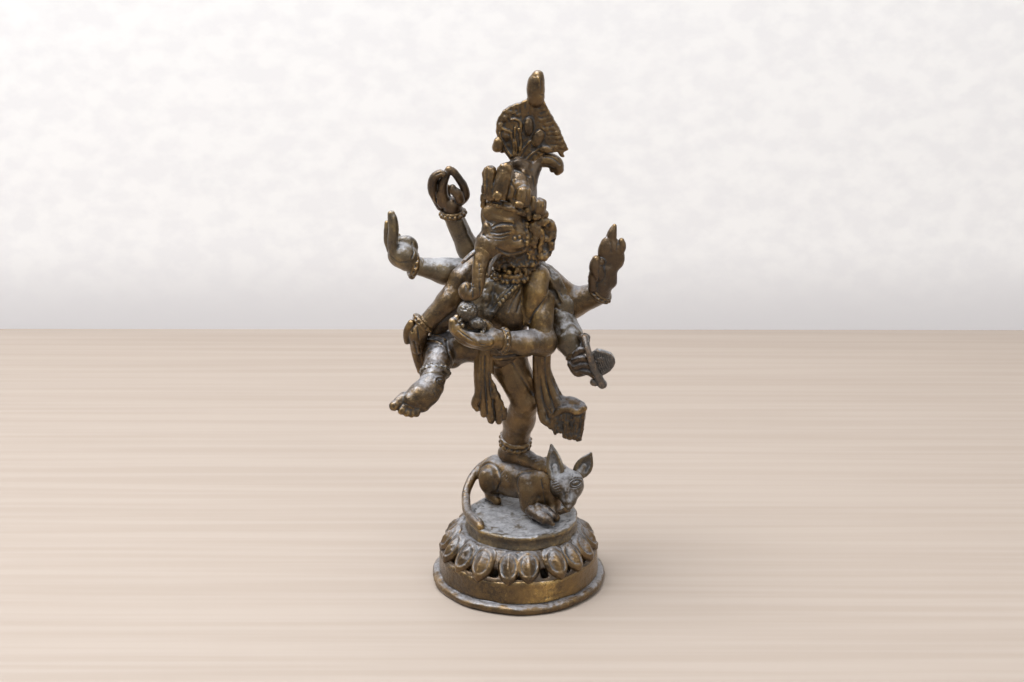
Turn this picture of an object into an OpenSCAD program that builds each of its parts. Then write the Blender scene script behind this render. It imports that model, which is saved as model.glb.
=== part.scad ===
// Small cast brass figure: a six-armed, elephant-headed dancer standing on one leg
// on a mouse, on a round hollow lotus pedestal. Millimetres.
// +Z is up. The origin is the centre of the pedestal's foot, on the ground.
// The front of the figure looks towards -Y and a little towards -X.

/* [Pedestal] */
// Outside diameter of the rolled foot ring
foot_d = 58; // [57:0.5:60]
// Height of the rolled foot ring
foot_h = 3.2; // [2.8:0.1:3.4]
// Outside diameter of the plain band at its foot
band_d = 53; // [52:0.5:54]
// Wall thickness of the hollow pedestal
wall = 2; // [1.6:0.1:2.4]
// Outside diameter of the platform
platform_d = 37.6; // [37:0.2:38.4]
// Height of the platform's rim above the ground
platform_z = 23; // [22:0.5:25]
// Number of petals round the pedestal
petal_n = 18; // [14:1:20]
// Width of one petal across its middle
petal_w = 6.2; // [5:0.2:6.6]
// Diameter of the piercings between the petal tips
pierce_d = 3; // [2:0.2:3.2]

/* [Figure] */
// Thickness of the limbs, as a multiple of the design's own
limb_k = 1; // [0.94:0.02:1.06]
// Radius of the beads on the anklets and the necklace
bead_r = 0.9; // [0.7:0.05:1.1]
// Diameter of the pin that fixes the figure to the platform
pin_d = 3; // [2.4:0.2:3.4]

/* [Crown] */
// Radius of the headband
crown_r = 9; // [8.8:0.1:9.4]
// Length of the tallest crown leaf
leaf_h = 10.5; // [9:0.5:12]
// Width of a crown leaf
leaf_w = 4.4; // [3.6:0.2:5]
// Thickness of the crest's plate
fan_t = 2.6; // [2:0.2:3.2]

/* [Hidden] */

brass = [0.36, 0.27, 0.15];
dark = [0.26, 0.20, 0.13];
worn = [0.55, 0.42, 0.20];
dusty = [0.38, 0.38, 0.36];

// heights of the pedestal's joints
band_top = 10.4;
drum_z0 = platform_z - 4.6;
deck_z = platform_z - 0.6;
drum_x = 1;                       // the drum sits a little to the right of the foot
lift = platform_z - 23;           // the figure rides on the platform
rb = band_d / 2;
rp = platform_d / 2;
pin_at = [-1.5, 8.5];

// joints of the standing leg, hip to toes, with radii
leg_p = [[-4.5, 5.5, 78.5], [-1.8, 5, 69], [1.3, 4.5, 61.5], [0, 7, 54], [-1, 8.5, 47.5], [-1.6, 9.5, 43]];
leg_r = [6.8, 6.1, 4.9, 5.0, 4.2, 3.6];
foot_p = [[-4, 11, 40.2], [2.5, 7, 40], [7, 3.2, 39.4], [9.4, 1.2, 38.8]];
foot_r = [2.9, 2.8, 2.4, 1.7];
// joints of the raised leg, hip to toes
rleg_p = [[-9, 4, 80], [-20, 1.5, 81], [-26, -0.5, 81.2], [-26.3, -5, 80], [-26.4, -12.5, 78]];
rleg_r = [6.6, 6.2, 5.2, 4.6, 3.6];
rfoot_p = [[-24, -15, 75.4], [-30, -17.5, 72.8], [-35.5, -20.5, 69.6]];
rfoot_r = [2.9, 3.0, 2.6];
// the arms: shoulder side first, wrist last
fra_p = [[-14.5, 3, 108.5], [-18.3, 0.5, 105.3], [-22.3, -1.5, 98.5], [-29.5, -3, 91.5]];
fra_r = [3.9, 3.3, 3.4, 2.8];
flu_p = [[5.6, 3, 103.5], [4.8, -0.5, 97], [8, -3, 88.5], [8, -4, 86]];
flu_r = [4.6, 4.6, 4.4, 4.4];
flf_p = [[7.6, -5, 85], [2, -8.5, 86.5], [-4.2, -11.2, 88]];
flf_r = [4.2, 3.9, 3.2];
ura_p = [[-13.5, 8.5, 106], [-16.5, 9.5, 112.5], [-21, 8.5, 123.3]];
ura_r = [3.9, 3.4, 3.1];
lra_p = [[-13.5, 8.5, 106], [-23.8, 6.5, 105.6], [-32, 4.5, 107.8]];
lra_r = [3.9, 4.0, 2.9];
ula_p = [[8, 8, 103.5], [17, 9, 94], [25.6, 6.6, 98]];
ula_r = [4.2, 4.9, 3.7];
lla_p = [[13.5, 6, 91], [15.8, 2, 84.6], [18, -0.8, 80]];
lla_r = [4.4, 4.5, 3.3];
// the axis of the crown leans back and to the figure's left
crown_c = [-2.4, 1.5, 127];
crown_tilt = [-20, 18, 0];

// ---------- small helpers ----------
module ball(p, r, f = 12) { hull() translate(p) sphere(r = r, $fn = f); }
module seg(a, b, ra, rb_, f = 12) { hull() { ball(a, ra, f); ball(b, rb_, f); } }
module chain(p, r, f = 12, k = 1) {
    for (i = [0 : len(p) - 2]) seg(p[i], p[i + 1], r[i] * k, r[i + 1] * k, f);
}
// a finger: a chain of even radius with a slightly finer tip
module finger(p, r, f = 6) {
    for (i = [0 : len(p) - 2])
        seg(p[i], p[i + 1], r, (i == len(p) - 2) ? r * 0.8 : r, f);
}
// points one after another along the line from a to b
function mix(a, b, t) = a + (b - a) * t;
// turns z to the direction d
module aim(p, d) {
    translate(p) rotate([0, acos(d[2] / norm(d)), atan2(d[1], d[0])]) children();
}
// a plain ring round a limb
module ring(p, d, r, t) {
    aim(p, d) rotate_extrude($fn = 18) translate([r, 0]) circle(r = t, $fn = 6);
}
// a ring of beads round a limb
module bead_ring(p, d, r, n, t) {
    aim(p, d) for (i = [0 : n - 1]) rotate([0, 0, i * 360 / n]) ball([r, 0, 0], t, 5);
}

// ---------- pedestal ----------
// outside of the pedestal below the platform, as a half outline
shoulder_out = [[rb - 0.5, band_top], [24.3, band_top + 3], [21.8, band_top + 5.8], [19.3, drum_z0]];
module pedestal_core() {
    rotate_extrude($fn = 36)
        polygon(concat([[0, foot_h], [rb, foot_h]], shoulder_out, [[0, drum_z0]]));
}
module drum_solid(h0 = 0) {
    translate([drum_x, 0, 0]) rotate_extrude($fn = 72)
        polygon([[0, drum_z0 - h0], [rp - 0.7, drum_z0 - h0], [rp - 0.4, drum_z0 + 2.4], [rp, platform_z - 0.8],
                 [rp - 0.3, platform_z - 0.2], [rp - 0.9, platform_z], [rp - 1.8, platform_z - 0.1],
                 [rp - 2.6, deck_z], [0, deck_z]]);
}

module foot_ring() {
    color(brass) rotate_extrude($fn = 96) union() {
        translate([foot_d / 2 - foot_h / 2, foot_h / 2]) circle(d = foot_h, $fn = 32);
        translate([rb - wall, 0]) square([foot_d / 2 - foot_h / 2 - rb + wall, foot_h]);
    }
}

module base_band() {
    color(worn) rotate_extrude($fn = 96)
        polygon([[rb - wall, foot_h], [rb, foot_h], [rb - 0.2, band_top - 1.6], [rb + 0.1, band_top - 1.2],
                 [rb + 0.1, band_top - 0.4], [rb - 0.5, band_top], [rb - wall - 0.5, band_top]]);
}

module lotus_shoulder() {
    color(dark) difference() {
        rotate_extrude($fn = 96)
            polygon(concat(shoulder_out, [[16.8, drum_z0], [16.8, drum_z0 - 1], [20.4, band_top + 4.8],
                                          [22.5, band_top + 2.3], [rb - wall - 0.5, band_top]]));
        for (i = [0 : petal_n - 1]) rotate([0, 0, (i + 0.5) * 360 / petal_n])
            translate([23.8, 0, band_top + 2]) rotate([0, 60, 0])
                cylinder(d = pierce_d, h = 8, center = true, $fn = 24);
    }
}

// one petal, pointing down and out along +X
module petal() {
    w = petal_w / 2 - 0.9;
    hull() {
        translate([20.2, 0, drum_z0 - 1.1]) sphere(r = 0.9, $fn = 5);
        for (s = [-1, 1]) {
            translate([22.4, s * w, band_top + 5]) sphere(r = 0.9, $fn = 5);
            translate([24.4, s * w * 0.9, band_top + 2.8]) sphere(r = 0.9, $fn = 5);
        }
        translate([25.9, 0, band_top + 0.4]) sphere(r = 0.8, $fn = 5);
    }
    hull() {
        translate([22, 0, drum_z0 - 1.2]) sphere(r = 0.5, $fn = 4);
        translate([25.6, 0, band_top + 4]) sphere(r = 0.8, $fn = 4);
        translate([26.5, 0, band_top + 1.4]) sphere(r = 0.5, $fn = 4);
    }
}
module lotus_petals() {
    color(brass) difference() {
        for (i = [0 : petal_n - 1]) rotate([0, 0, i * 360 / petal_n]) petal();
        pedestal_core();
    }
}

module platform_drum() {
    color(dusty) difference() {
        translate([drum_x, 0, 0]) rotate_extrude($fn = 96)
            polygon([[15.6, drum_z0], [rp - 0.7, drum_z0], [rp - 0.4, drum_z0 + 2.4], [rp, platform_z - 0.8],
                     [rp - 0.3, platform_z - 0.2], [rp - 0.9, platform_z], [rp - 1.8, platform_z - 0.1],
                     [rp - 2.6, deck_z], [0, deck_z], [0, deck_z - 1.8], [15.6, deck_z - 1.8]]);
        translate([pin_at[0], pin_at[1], deck_z - 3]) cylinder(d = pin_d, h = 5, $fn = 32);
    }
}

module pin_shape(c = 0) {
    translate([pin_at[0], pin_at[1], deck_z - 1.8]) cylinder(d = pin_d + c, h = 23, $fn = 32);
}
module figure_pin() {
    color(worn) union() {
        pin_shape();
        translate([pin_at[0], pin_at[1], deck_z - 3]) cylinder(d = pin_d * 2, h = 1.2, $fn = 32);
    }
}

// ---------- mouse ----------
module below_deck() { translate([-40, -40, -10]) cube([80, 80, deck_z - lift + 10]); }
module s_mouse_body() {
    chain([[-7, 14.5, 31.2], [-1.5, 10, 31.6], [4.5, 4.5, 32], [9.5, 3, 34]], [6.5, 6.1, 5.6, 4.4], 11);
    chain([[-10, 12.5, 31.5], [-9.8, 13, 25], [-8.5, 11.5, 23.8]], [4, 2.6, 1.8], 10);
    chain([[3.6, 1.6, 30], [3.8, 0, 25.5], [6.5, -3, 24]], [3.6, 2.9, 1.9], 10);
    chain([[11, 4, 29], [11.5, 1.5, 24.6], [12, -2.5, 23.8]], [3, 2.2, 1.6], 10);
}
module mouse_body() {
    color(brass) translate([0, 0, lift]) difference() {
        s_mouse_body();
        below_deck();
        translate([0, 0, -lift]) pin_shape();
    }
}
module s_mouse_head() {
    chain([[14.2, 3.5, 36], [16.2, 0.5, 33.2], [16.2, -4.2, 28.6]], [4.6, 5.3, 1.7]);
}
module mouse_head() { color(dusty) translate([0, 0, lift]) difference() { s_mouse_head(); s_mouse_body(); } }
module s_mouse_ear(p, q, w) {
    hull() { ball(p, 1, 8); ball(p + w, 1, 8); ball(p - w, 1, 8); ball(mix(p, q, 0.5) + w * 0.8, 0.8, 8);
             ball(mix(p, q, 0.5) - w * 0.8, 0.8, 8); ball(q, 0.5, 8); }
}
module mouse_ears() {
    color(dusty) translate([0, 0, lift]) difference() {
        union() {
            s_mouse_ear([12.4, 3.6, 37.5], [10.9, 4.4, 46], [1.9, -0.4, -0.6]);
            s_mouse_ear([20.2, 2.6, 36.8], [24, 3.4, 43], [1.4, -0.4, -1.4]);
        }
        s_mouse_head();
        s_mouse_body();
    }
}
tail_p = [[-8, 16.5, 35], [-12.5, 16, 33], [-16, 13.5, 29.6], [-17.6, 9.5, 26.4], [-17.6, 5, 24.6],
          [-17, -0.5, 24.2], [-15.6, -5.5, 24.2], [-12.8, -10, 24.2]];
module mouse_tail() {
    color(brass) translate([0, 0, lift]) difference() {
        chain(tail_p, [1.4, 1.5, 1.5, 1.5, 1.5, 1.5, 1.6, 1.7], 10);
        s_mouse_body();
        translate([0, 0, -lift]) drum_solid();
    }
}
module mouse_sweets() {
    color(dark) translate([0, 0, lift]) difference() {
        union() {
            chain([[11.5, -7, 23.6], [12.8, -9.5, 23.6]], [1.7, 1.5], 10);
            chain([[9, -8, 23.4], [9.6, -10.4, 23.4]], [1.3, 1.3], 10);
            chain([[15.6, -5.6, 25], [14.6, -6.6, 24]], [1.3, 1.6], 10);
        }
        below_deck();
        s_mouse_body();
        s_mouse_head();
    }
}

// ---------- legs ----------
module s_standing_leg() {
    chain(leg_p, leg_r, 12, limb_k);
    chain(concat([leg_p[5]], foot_p), concat([3.4], foot_r), 10, limb_k);
    for (i = [0 : 3]) seg(foot_p[2] + [0.3 * i, -0.2 + 0.9 * i, 0], foot_p[3] + [0.6 - 0.2 * i, -1 + 1.1 * i, -0.3 + 0.1 * i], 1.2, 0.9, 8);
}
module standing_leg() {
    color(brass) translate([0, 0, lift]) difference() {
        s_standing_leg();
        s_torso();
        s_mouse_body();
        translate([0, 0, -lift]) pin_shape();
    }
}
ankle_d = [-0.7, 1.2, -4.6];
module standing_anklet() {
    color(worn) translate([0, 0, lift]) difference() {
        union() {
            ring([-1.2, 9, 45.4], ankle_d, 4.2, 0.9);
            bead_ring([-1.3, 9.1, 44.4], ankle_d, 4.3, 14, bead_r);
        }
        s_standing_leg();
    }
}
module s_raised_leg() {
    chain(rleg_p, rleg_r, 12, limb_k);
    chain(concat([rleg_p[4]], rfoot_p), concat([3.3], rfoot_r), 10, limb_k);
    for (i = [0 : 4])
        seg([-34, -20, 70.4] + i * [0.9, -0.3, -1], [-39.4, -22, 69.9] + i * [1.5, -0.2, -0.6], 1.5 - 0.1 * i, 1.15 - 0.08 * i, 8);
}
module raised_leg() { color(brass) translate([0, 0, lift]) difference() { s_raised_leg(); s_torso(); } }
module raised_anklet() {
    color(dusty) translate([0, 0, lift]) difference() {
        union() {
            ring([-26.3, -10.2, 78.5], [0.2, -7.5, -2.1], 4.15, 0.92);
            bead_ring([-26.4, -11.4, 78.15], [0.2, -7.5, -2.1], 4.2, 14, bead_r);
        }
        s_raised_leg();
    }
}

// ---------- torso, cloth, necklace ----------
module s_torso() {
    chain([[-6, 4.8, 80], [-5, 4, 87], [-4.6, 2.2, 94], [-4.2, 4, 101], [-3.6, 5, 106]], [7.4, 6.6, 7.9, 7.4, 5.2], 14);
    chain([[-11, 4.5, 105], [-3.5, 5, 105.6], [3.5, 5.2, 104.6]], [4.6, 5, 4.6], 12);
    seg([-3.2, 4.4, 107], [-3, 3, 112], 4.4, 4.4, 12);
}
module torso() { color(brass) translate([0, 0, lift]) s_torso(); }
// rough band from the left shoulder across the chest to the right hip
module s_chest_cloth() {
    hull() { ball([1, -0.5, 105.5], 1.4, 10); ball([-3.5, -4.2, 101.5], 1.4, 10); ball([-8, -2, 104.5], 1.4, 10); }
    hull() { ball([-3.5, -4.2, 101.5], 1.4, 10); ball([-8, -2, 104.5], 1.4, 10); ball([-11.4, -2.8, 97], 1.4, 10); ball([-8, -4.6, 95.5], 1.4, 10); }
    hull() { ball([-11.4, -2.8, 97], 1.4, 10); ball([-8, -4.6, 95.5], 1.4, 10); ball([-11.6, -2.6, 92], 1.3, 10); }
}
module chest_cloth() { color(dusty) translate([0, 0, lift]) difference() { s_chest_cloth(); s_torso(); } }
module necklace() {
    color(worn) translate([0, 0, lift]) difference() {
        for (i = [0 : 15])
            ball([-3 + 7.6 * cos(175 + i * 13), 3.6 + 7.6 * sin(175 + i * 13), 108.8 - 2 * cos((i - 7.5) * 13)], bead_r, 6);
        s_torso();
        s_head();
        s_chest_cloth();
    }
}
// pleated cloth end in front of the standing leg
module sash_end_centre() {
    color(brass) translate([0, 0, lift]) difference() {
        union() {
            chain([[-12.2, -2.6, 80], [-12.4, -3, 70], [-13.9, -3.8, 64.5], [-12.4, -4, 61.6]], [1.5, 1.5, 1.4, 1.2], 8);
            chain([[-11, -2.8, 80], [-10.8, -3.2, 69], [-11.2, -3.6, 60.6]], [1.6, 1.6, 1.4], 8);
            chain([[-9.8, -2.2, 78], [-9, -2.8, 69], [-8.6, -3.6, 58.8]], [1.5, 1.6, 1.5], 8);
            chain([[-9, -2, 75], [-7.4, -2.4, 68], [-6, -3, 60.6]], [1.3, 1.4, 1.3], 8);
        }
        s_torso();
        s_raised_leg();
        s_standing_leg();
    }
}
// cloth that falls from the left hip and ends in a flared pleat
module sash_end_side() {
    color(brass) translate([0, 0, lift]) difference() {
        union() {
            chain([[6.8, 2.2, 80], [6.8, 3, 70], [8.6, 1, 60.5], [9.4, 0, 57.6]], [1.5, 1.4, 1.5, 1.6], 8);
            chain([[8.8, 2.2, 80], [9, 2.6, 70], [11.5, 1, 62.5], [13.5, -1, 57]], [1.5, 1.4, 1.5, 1.6], 8);
            for (i = [0 : 4])
                seg([10.5 + 2.3 * i, 0.6 - 0.2 * i, 61.5 + 0.1 * i], [12 + 1.8 * i, -2 - 0.3 * i, 56.4 - 1.1 * i], 1.4, 1.3, 8);
        }
        s_torso();
        s_standing_leg();
    }
}

// ---------- head ----------
module s_head() {
    chain([[-2.8, 2, 123.5], [-3.6, 0, 120], [-4.4, -1.6, 116.6]], [8.1, 8, 5.8], 16);
    chain([[-7, -3, 120], [-10.2, -5.6, 117.6]], [5, 3.6], 12);
    seg([0, -2.4, 117.5], [-4, -3.8, 117], 4, 4, 12);
}
module head() { color(brass) translate([0, 0, lift]) difference() { s_head(); s_torso(); } }
trunk_p = [[-10.8, -6.4, 116.6], [-12.2, -9, 113.4], [-12.7, -11, 108.4], [-14, -12, 104.4], [-16.2, -12, 104.4], [-16.6, -12, 106]];
module s_trunk() { chain(trunk_p, [3.2, 2.6, 2.2, 2, 2, 1.9], 12); }
module trunk() { color(brass) translate([0, 0, lift]) difference() { s_trunk(); s_head(); s_chest_cloth(); } }
module tusks() {
    color([0.6, 0.56, 0.48]) translate([0, 0, lift]) difference() {
        union() {
            chain([[-7.2, -7, 116], [-8.6, -9.6, 112.4], [-9.8, -11, 109.8]], [1.3, 1.1, 0.8], 10);
            chain([[-12.4, -5.4, 118], [-15.4, -7.6, 115.6], [-17.4, -8.8, 114]], [1.4, 1.2, 1], 10);
        }
        s_head();
        s_trunk();
    }
}
module s_ear(c, p, r) {
    for (i = [0 : len(p) - 2]) hull() { ball(c, 1.6, 8); ball(p[i], r, 8); ball(p[i + 1], r, 8); }
}
module ear_left() {
    color(brass) translate([0, 0, lift]) difference() {
        s_ear([4, -2.6, 119], [[4.6, -2, 125], [9, 0, 124.6], [11.6, 1.2, 121], [11.4, 1.4, 116], [8.6, 0, 111.6], [4.4, -2.4, 112.6]], 1.5);
        s_head();
    }
}
module ear_right() {
    color(brass) translate([0, 0, lift]) difference() {
        s_ear([-9, 6, 119], [[-9, 5.6, 125], [-11, 7.6, 123.6], [-11.6, 8.8, 119.6], [-10.6, 8.4, 115.6], [-8.8, 6.6, 113.6]], 1.2);
        s_head();
        s_upper_right_arm();
    }
}

// ---------- crown and crest ----------
module at_crown() { translate(crown_c) rotate(crown_tilt) children(); }
module s_crown_band() {
    at_crown() rotate_extrude($fn = 32)
        polygon([[crown_r - 2.4, -1.3], [crown_r, -1.4], [crown_r + 0.5, -0.9], [crown_r + 0.3, 0], [crown_r + 0.5, 0.9], [crown_r, 1.4], [crown_r - 2.4, 1.3]]);
}
module crown_band() { color(brass) translate([0, 0, lift]) difference() { s_crown_band(); s_head(); for (i = [0 : 7]) ball([-90 + i, 0, 0], 0.2, 6); } }
// angle round the band and length of each leaf, front one longest
leaf_a = [-198, -157, -117, -76, -37];
leaf_l = [leaf_h * 0.8, leaf_h * 0.95, leaf_h, leaf_h * 0.75, leaf_h * 0.62];
module s_leaf(a, l) {
    at_crown() rotate([0, 0, a]) hull() {
        for (s = [-1, 1]) {
            ball([crown_r - 1.4, s * (leaf_w / 2 - 1), 1], 1, 8);
            ball([crown_r - 1.8, s * (leaf_w / 2 - 1), l - 2], 1, 8);
        }
        ball([crown_r - 1.8, 0, l - 0.6], 1.1, 8);
    }
}
module s_crown_leaves() { for (i = [0 : 4]) s_leaf(leaf_a[i], leaf_l[i]); }
module crown_leaves() { color(brass) translate([0, 0, lift]) difference() { s_crown_leaves(); s_crown_band(); s_head(); } }
module crown_jewels() {
    color(worn) translate([0, 0, lift]) difference() {
        for (i = [0 : 4]) at_crown() rotate([0, 0, leaf_a[i]]) hull() { ball([crown_r + 0.3, 0, 0.5], 1.2, 8); ball([crown_r, 0, 2], 1, 8); }
        s_crown_band();
        s_crown_leaves();
        s_head();
    }
}
module s_topknot() {
    chain([[0, 4.5, 130], [1.6, 7, 135.5], [2.4, 8.4, 139.4]], [4.4, 2.6, 2], 12);
    hull() { ball([-1.6, 7.4, 141], 2, 10); ball([1.6, 7.4, 140], 2.1, 10); }
}
module topknot() { color(dark) translate([0, 0, lift]) difference() { s_topknot(); s_head(); s_crown_band(); s_crown_leaves(); } }
fan_out = [[-2.6, 141.6], [-5.2, 146.6], [-7.4, 151.6], [-7, 155.6], [-4.6, 158.8], [-1.4, 161], [2.4, 162.4], [6.4, 162.2],
           [9.6, 156.6], [12.6, 151], [15.8, 145.6], [13, 144], [8, 143.4], [4, 141.4], [0, 140.4]];
fan_hub = [-0.6, 6.6, 142.6];
module s_fan() {
    translate([0, 8 + fan_t / 2, 0]) rotate([90, 0, 0]) linear_extrude(height = fan_t) polygon(fan_out);
    for (i = [2 : 11]) seg(fan_hub, [fan_out[i][0] * 0.94, 6.8, 142 + (fan_out[i][1] - 142) * 0.94], 0.5, 0.9, 5);
    seg([2.4, 6.6, 152], [3, 6.6, 155], 1.7, 1.5, 8);
    seg([5.6, 6.6, 148.6], [6.8, 6.6, 151.4], 1.7, 1.5, 8);
}
module crest_fan() { color(brass) translate([0, 0, lift]) difference() { s_fan(); s_topknot(); } }
module crest_finial() {
    color(brass) translate([0, 0, lift]) difference() {
        union() {
            chain([[5.2, 8, 162], [5, 8, 166], [5.5, 8, 169]], [2.6, 2.5, 1.8], 12);
            ring([5.2, 8, 162.6], [0, 0, 1], 2.1, 0.8);
        }
        s_fan();
    }
}
module crest_curls() {
    color(brass) translate([0, 0, lift]) difference() {
        union() {
            seg([-7, 7.6, 146.4], [-6.8, 7.6, 148.8], 1.7, 1.5, 10);
            chain([[4.2, 9, 138.4], [6.6, 9.2, 140.6], [9.4, 9.2, 141.6], [11.8, 9, 140], [12.6, 8.8, 138.6]], [1.8, 2.1, 2.3, 2.3, 2], 10);
        }
        s_fan();
        s_topknot();
    }
}

// ---------- arms ----------
module s_rear_arm_block() { chain([[-13, 9, 105.5], [-4, 9.5, 103.5], [8, 8.6, 101.5], [14.6, 8, 94], [14, 6.5, 90]], [4.2, 4.6, 4.6, 4.9, 4.2], 12); }
module rear_arm_block() { color(dusty) translate([0, 0, lift]) difference() { s_rear_arm_block(); s_torso(); } }
module s_front_right_arm() { chain(fra_p, fra_r, 10, limb_k); }
module front_right_arm() { color(brass) translate([0, 0, lift]) difference() { s_front_right_arm(); s_torso(); s_rear_arm_block(); } }
module s_front_right_hand() {
    chain([[-29.5, -3, 91.5], [-33, -2.6, 87.4], [-32.4, -1, 82.6]], [2.6, 3.2, 2.6], 10);
    for (i = [0 : 3]) finger([[-34.2 + 1.5 * i, -2.4 + 1.2 * i, 83.5], [-33 + 1.2 * i, 0 + 0.8 * i, 78], [-31.6 + 0.9 * i, 1.4 + 0.8 * i, 73 + 0.4 * i]], 1.25);
    finger([[-34.4, -4, 88.6], [-36, -4, 86.4], [-36, -3.4, 84.2]], 1.2);
}
module front_right_hand() { color(brass) translate([0, 0, lift]) difference() { s_front_right_hand(); s_front_right_arm(); s_raised_leg(); } }
module s_front_left_upper_arm() { chain(flu_p, flu_r, 10, limb_k); }
module front_left_upper_arm() { color(worn) translate([0, 0, lift]) difference() { s_front_left_upper_arm(); s_torso(); s_rear_arm_block(); s_chest_cloth(); } }
module s_front_left_forearm() { chain(flf_p, flf_r, 10, limb_k); }
module front_left_forearm() { color(worn) translate([0, 0, lift]) difference() { s_front_left_forearm(); s_front_left_upper_arm(); s_torso(); } }
// palm up, hollowed as a small dish
module s_front_left_hand() {
    difference() {
        union() {
            chain([[-4.2, -11.2, 88], [-9.5, -13, 90], [-16, -13.6, 92]], [3, 3.6, 3.2], 10);
            seg([-10, -16, 91.5], [-16.5, -16, 92.8], 1.6, 1.6, 8);
        }
        hull() { ball([-13.4, -13.6, 96], 3.4, 12); ball([-11.4, -13.4, 96], 3.2, 12); }
    }
    for (i = [0 : 3]) finger([[-16.5, -16 + 1.9 * i, 91.6], [-19.4, -15.6 + 1.9 * i, 93.4], [-19.4, -14.6 + 1.6 * i, 96]], 1.15);
}
module front_left_hand() { color(worn) translate([0, 0, lift]) difference() { s_front_left_hand(); s_front_left_forearm(); s_trunk(); } }
module sweets() {
    color(dusty) translate([0, 0, lift]) difference() {
        union() {
            chain([[-12.4, -13.4, 94.4], [-14.6, -13.4, 94.6]], [2.2, 2.1], 12);
            ball([-16.3, -12.8, 98.9], 2.8, 16);
            for (i = [0 : 4]) ball([-16 + 1.1 * i, -14.8, 94.2], 1, 6);
        }
        s_front_left_hand();
        s_trunk();
    }
}
module s_upper_right_arm() { chain(ura_p, ura_r, 10, limb_k); }
module upper_right_arm() { color(dusty) translate([0, 0, lift]) difference() { s_upper_right_arm(); s_torso(); s_rear_arm_block(); s_front_right_arm(); } }
module s_upper_right_hand() {
    chain([[-21, 8.5, 123.3], [-21.4, 7.8, 127.6]], [2.8, 3.1], 10);
    finger([[-19, 7.6, 128], [-16.9, 7.4, 131.6], [-17.9, 7, 136], [-21, 6.4, 139.6]], 1.5);
    finger([[-23.2, 7, 128], [-24.2, 6.4, 133], [-23.2, 6, 137], [-21.6, 6.2, 139.8]], 1.5);
    finger([[-23.4, 6.4, 128.4], [-27, 5.6, 132], [-27, 5.2, 136.4], [-24.8, 4.8, 138.4]], 1.7);
    finger([[-23.6, 8.4, 128.4], [-26.6, 8.4, 131.4], [-26.8, 8.2, 135], [-25, 8, 137]], 1.5);
    finger([[-19.6, 5.6, 129.4], [-18.4, 4.8, 132], [-19.8, 5, 134]], 1.2);
}
module upper_right_hand() { color(dark) translate([0, 0, lift]) difference() { s_upper_right_hand(); s_upper_right_arm(); } }
module s_lower_right_arm() { chain(lra_p, lra_r, 10, limb_k); }
module lower_right_arm() { color(dusty) translate([0, 0, lift]) difference() { s_lower_right_arm(); s_torso(); s_rear_arm_block(); s_front_right_arm(); s_upper_right_arm(); } }
module s_lower_right_hand() {
    chain([[-32, 4.5, 107.8], [-36, 3.4, 110], [-38.6, 2.4, 112.2]], [2.7, 3.2, 3], 10);
    chain([[-36, 5.4, 112], [-35.6, 5, 115]], [2.6, 2.3], 10);
    finger([[-39.6, 1.4, 113], [-40.2, 1.4, 118.6], [-40.7, 2, 125.2]], 1.7);
    finger([[-41, 3.4, 113], [-42, 3.8, 118], [-42.2, 4, 122]], 1.2);
}
module lower_right_hand() { color(dusty) translate([0, 0, lift]) difference() { s_lower_right_hand(); s_lower_right_arm(); } }
module s_upper_left_arm() { chain(ula_p, ula_r, 10, limb_k); }
module upper_left_arm() { color(brass) translate([0, 0, lift]) difference() { s_upper_left_arm(); s_torso(); s_rear_arm_block(); s_front_left_upper_arm(); } }
module s_upper_left_hand() {
    chain([[25.6, 6.6, 98], [27.6, 5.4, 102.6], [28.8, 5, 107]], [3.2, 3.6, 3], 10);
    hull() { ball([28.4, 5, 113.2], 2.1, 8); ball([31.8, 5, 114], 2.1, 8); ball([30, 5, 108], 2.4, 8); }
    finger([[28.6, 5.6, 112.6], [29.8, 5.6, 117.4], [30.3, 5.6, 121.4]], 1.5);
    finger([[31.4, 5, 111], [32.6, 4.8, 114], [32.5, 4.8, 116.6]], 1.5);
    finger([[25.6, 3, 105], [24.9, 2.8, 108], [25.4, 3, 110.4]], 1.6);
    finger([[26.4, 3, 102], [25.4, 2.6, 104]], 1.3);
}
module upper_left_hand() { color(dark) translate([0, 0, lift]) difference() { s_upper_left_hand(); s_upper_left_arm(); } }
module s_lower_left_arm() { chain(lla_p, lla_r, 10, limb_k); }
module lower_left_arm() { color(dusty) translate([0, 0, lift]) difference() { s_lower_left_arm(); s_torso(); s_rear_arm_block(); s_front_left_upper_arm(); s_front_left_forearm(); s_upper_left_arm(); } }
module s_lower_left_hand() {
    chain([[18, -0.8, 80], [19.2, -3, 77.4]], [2.9, 2.8], 10);
    for (i = [0 : 3]) finger([[18 + 0.9 * i, -4.4, 79 - 1.5 * i], [21 + 0.9 * i, -5.6, 79.4 - 1.5 * i], [23.2 + 0.6 * i, -3.6, 78.6 - 1.5 * i]], 1.1);
    finger([[18.6, -0.8, 77], [21.6, -0.8, 76.6]], 1.3);
}
module lower_left_hand() { color(dark) translate([0, 0, lift]) difference() { s_lower_left_hand(); s_lower_left_arm(); s_axe(); } }
module s_axe() {
    seg([21.4, -2.6, 84.6], [26.9, -4.8, 71.4], 1.2, 1.3, 10);
    ball([21.2, -2.4, 85.4], 1.7, 10);
    ball([27, -5, 71], 1.8, 10);
    hull() { ball([24.2, -3.8, 80], 1.2, 8); ball([25.6, -4.2, 75.6], 1.2, 8); ball([27.6, -4.6, 81], 1, 8); ball([28.4, -5, 75], 1, 8); ball([31, -5, 79.4], 0.6, 8); ball([30.6, -5.2, 77], 0.6, 8); }
}
module axe() { color(dark) translate([0, 0, lift]) s_axe(); }
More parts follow.
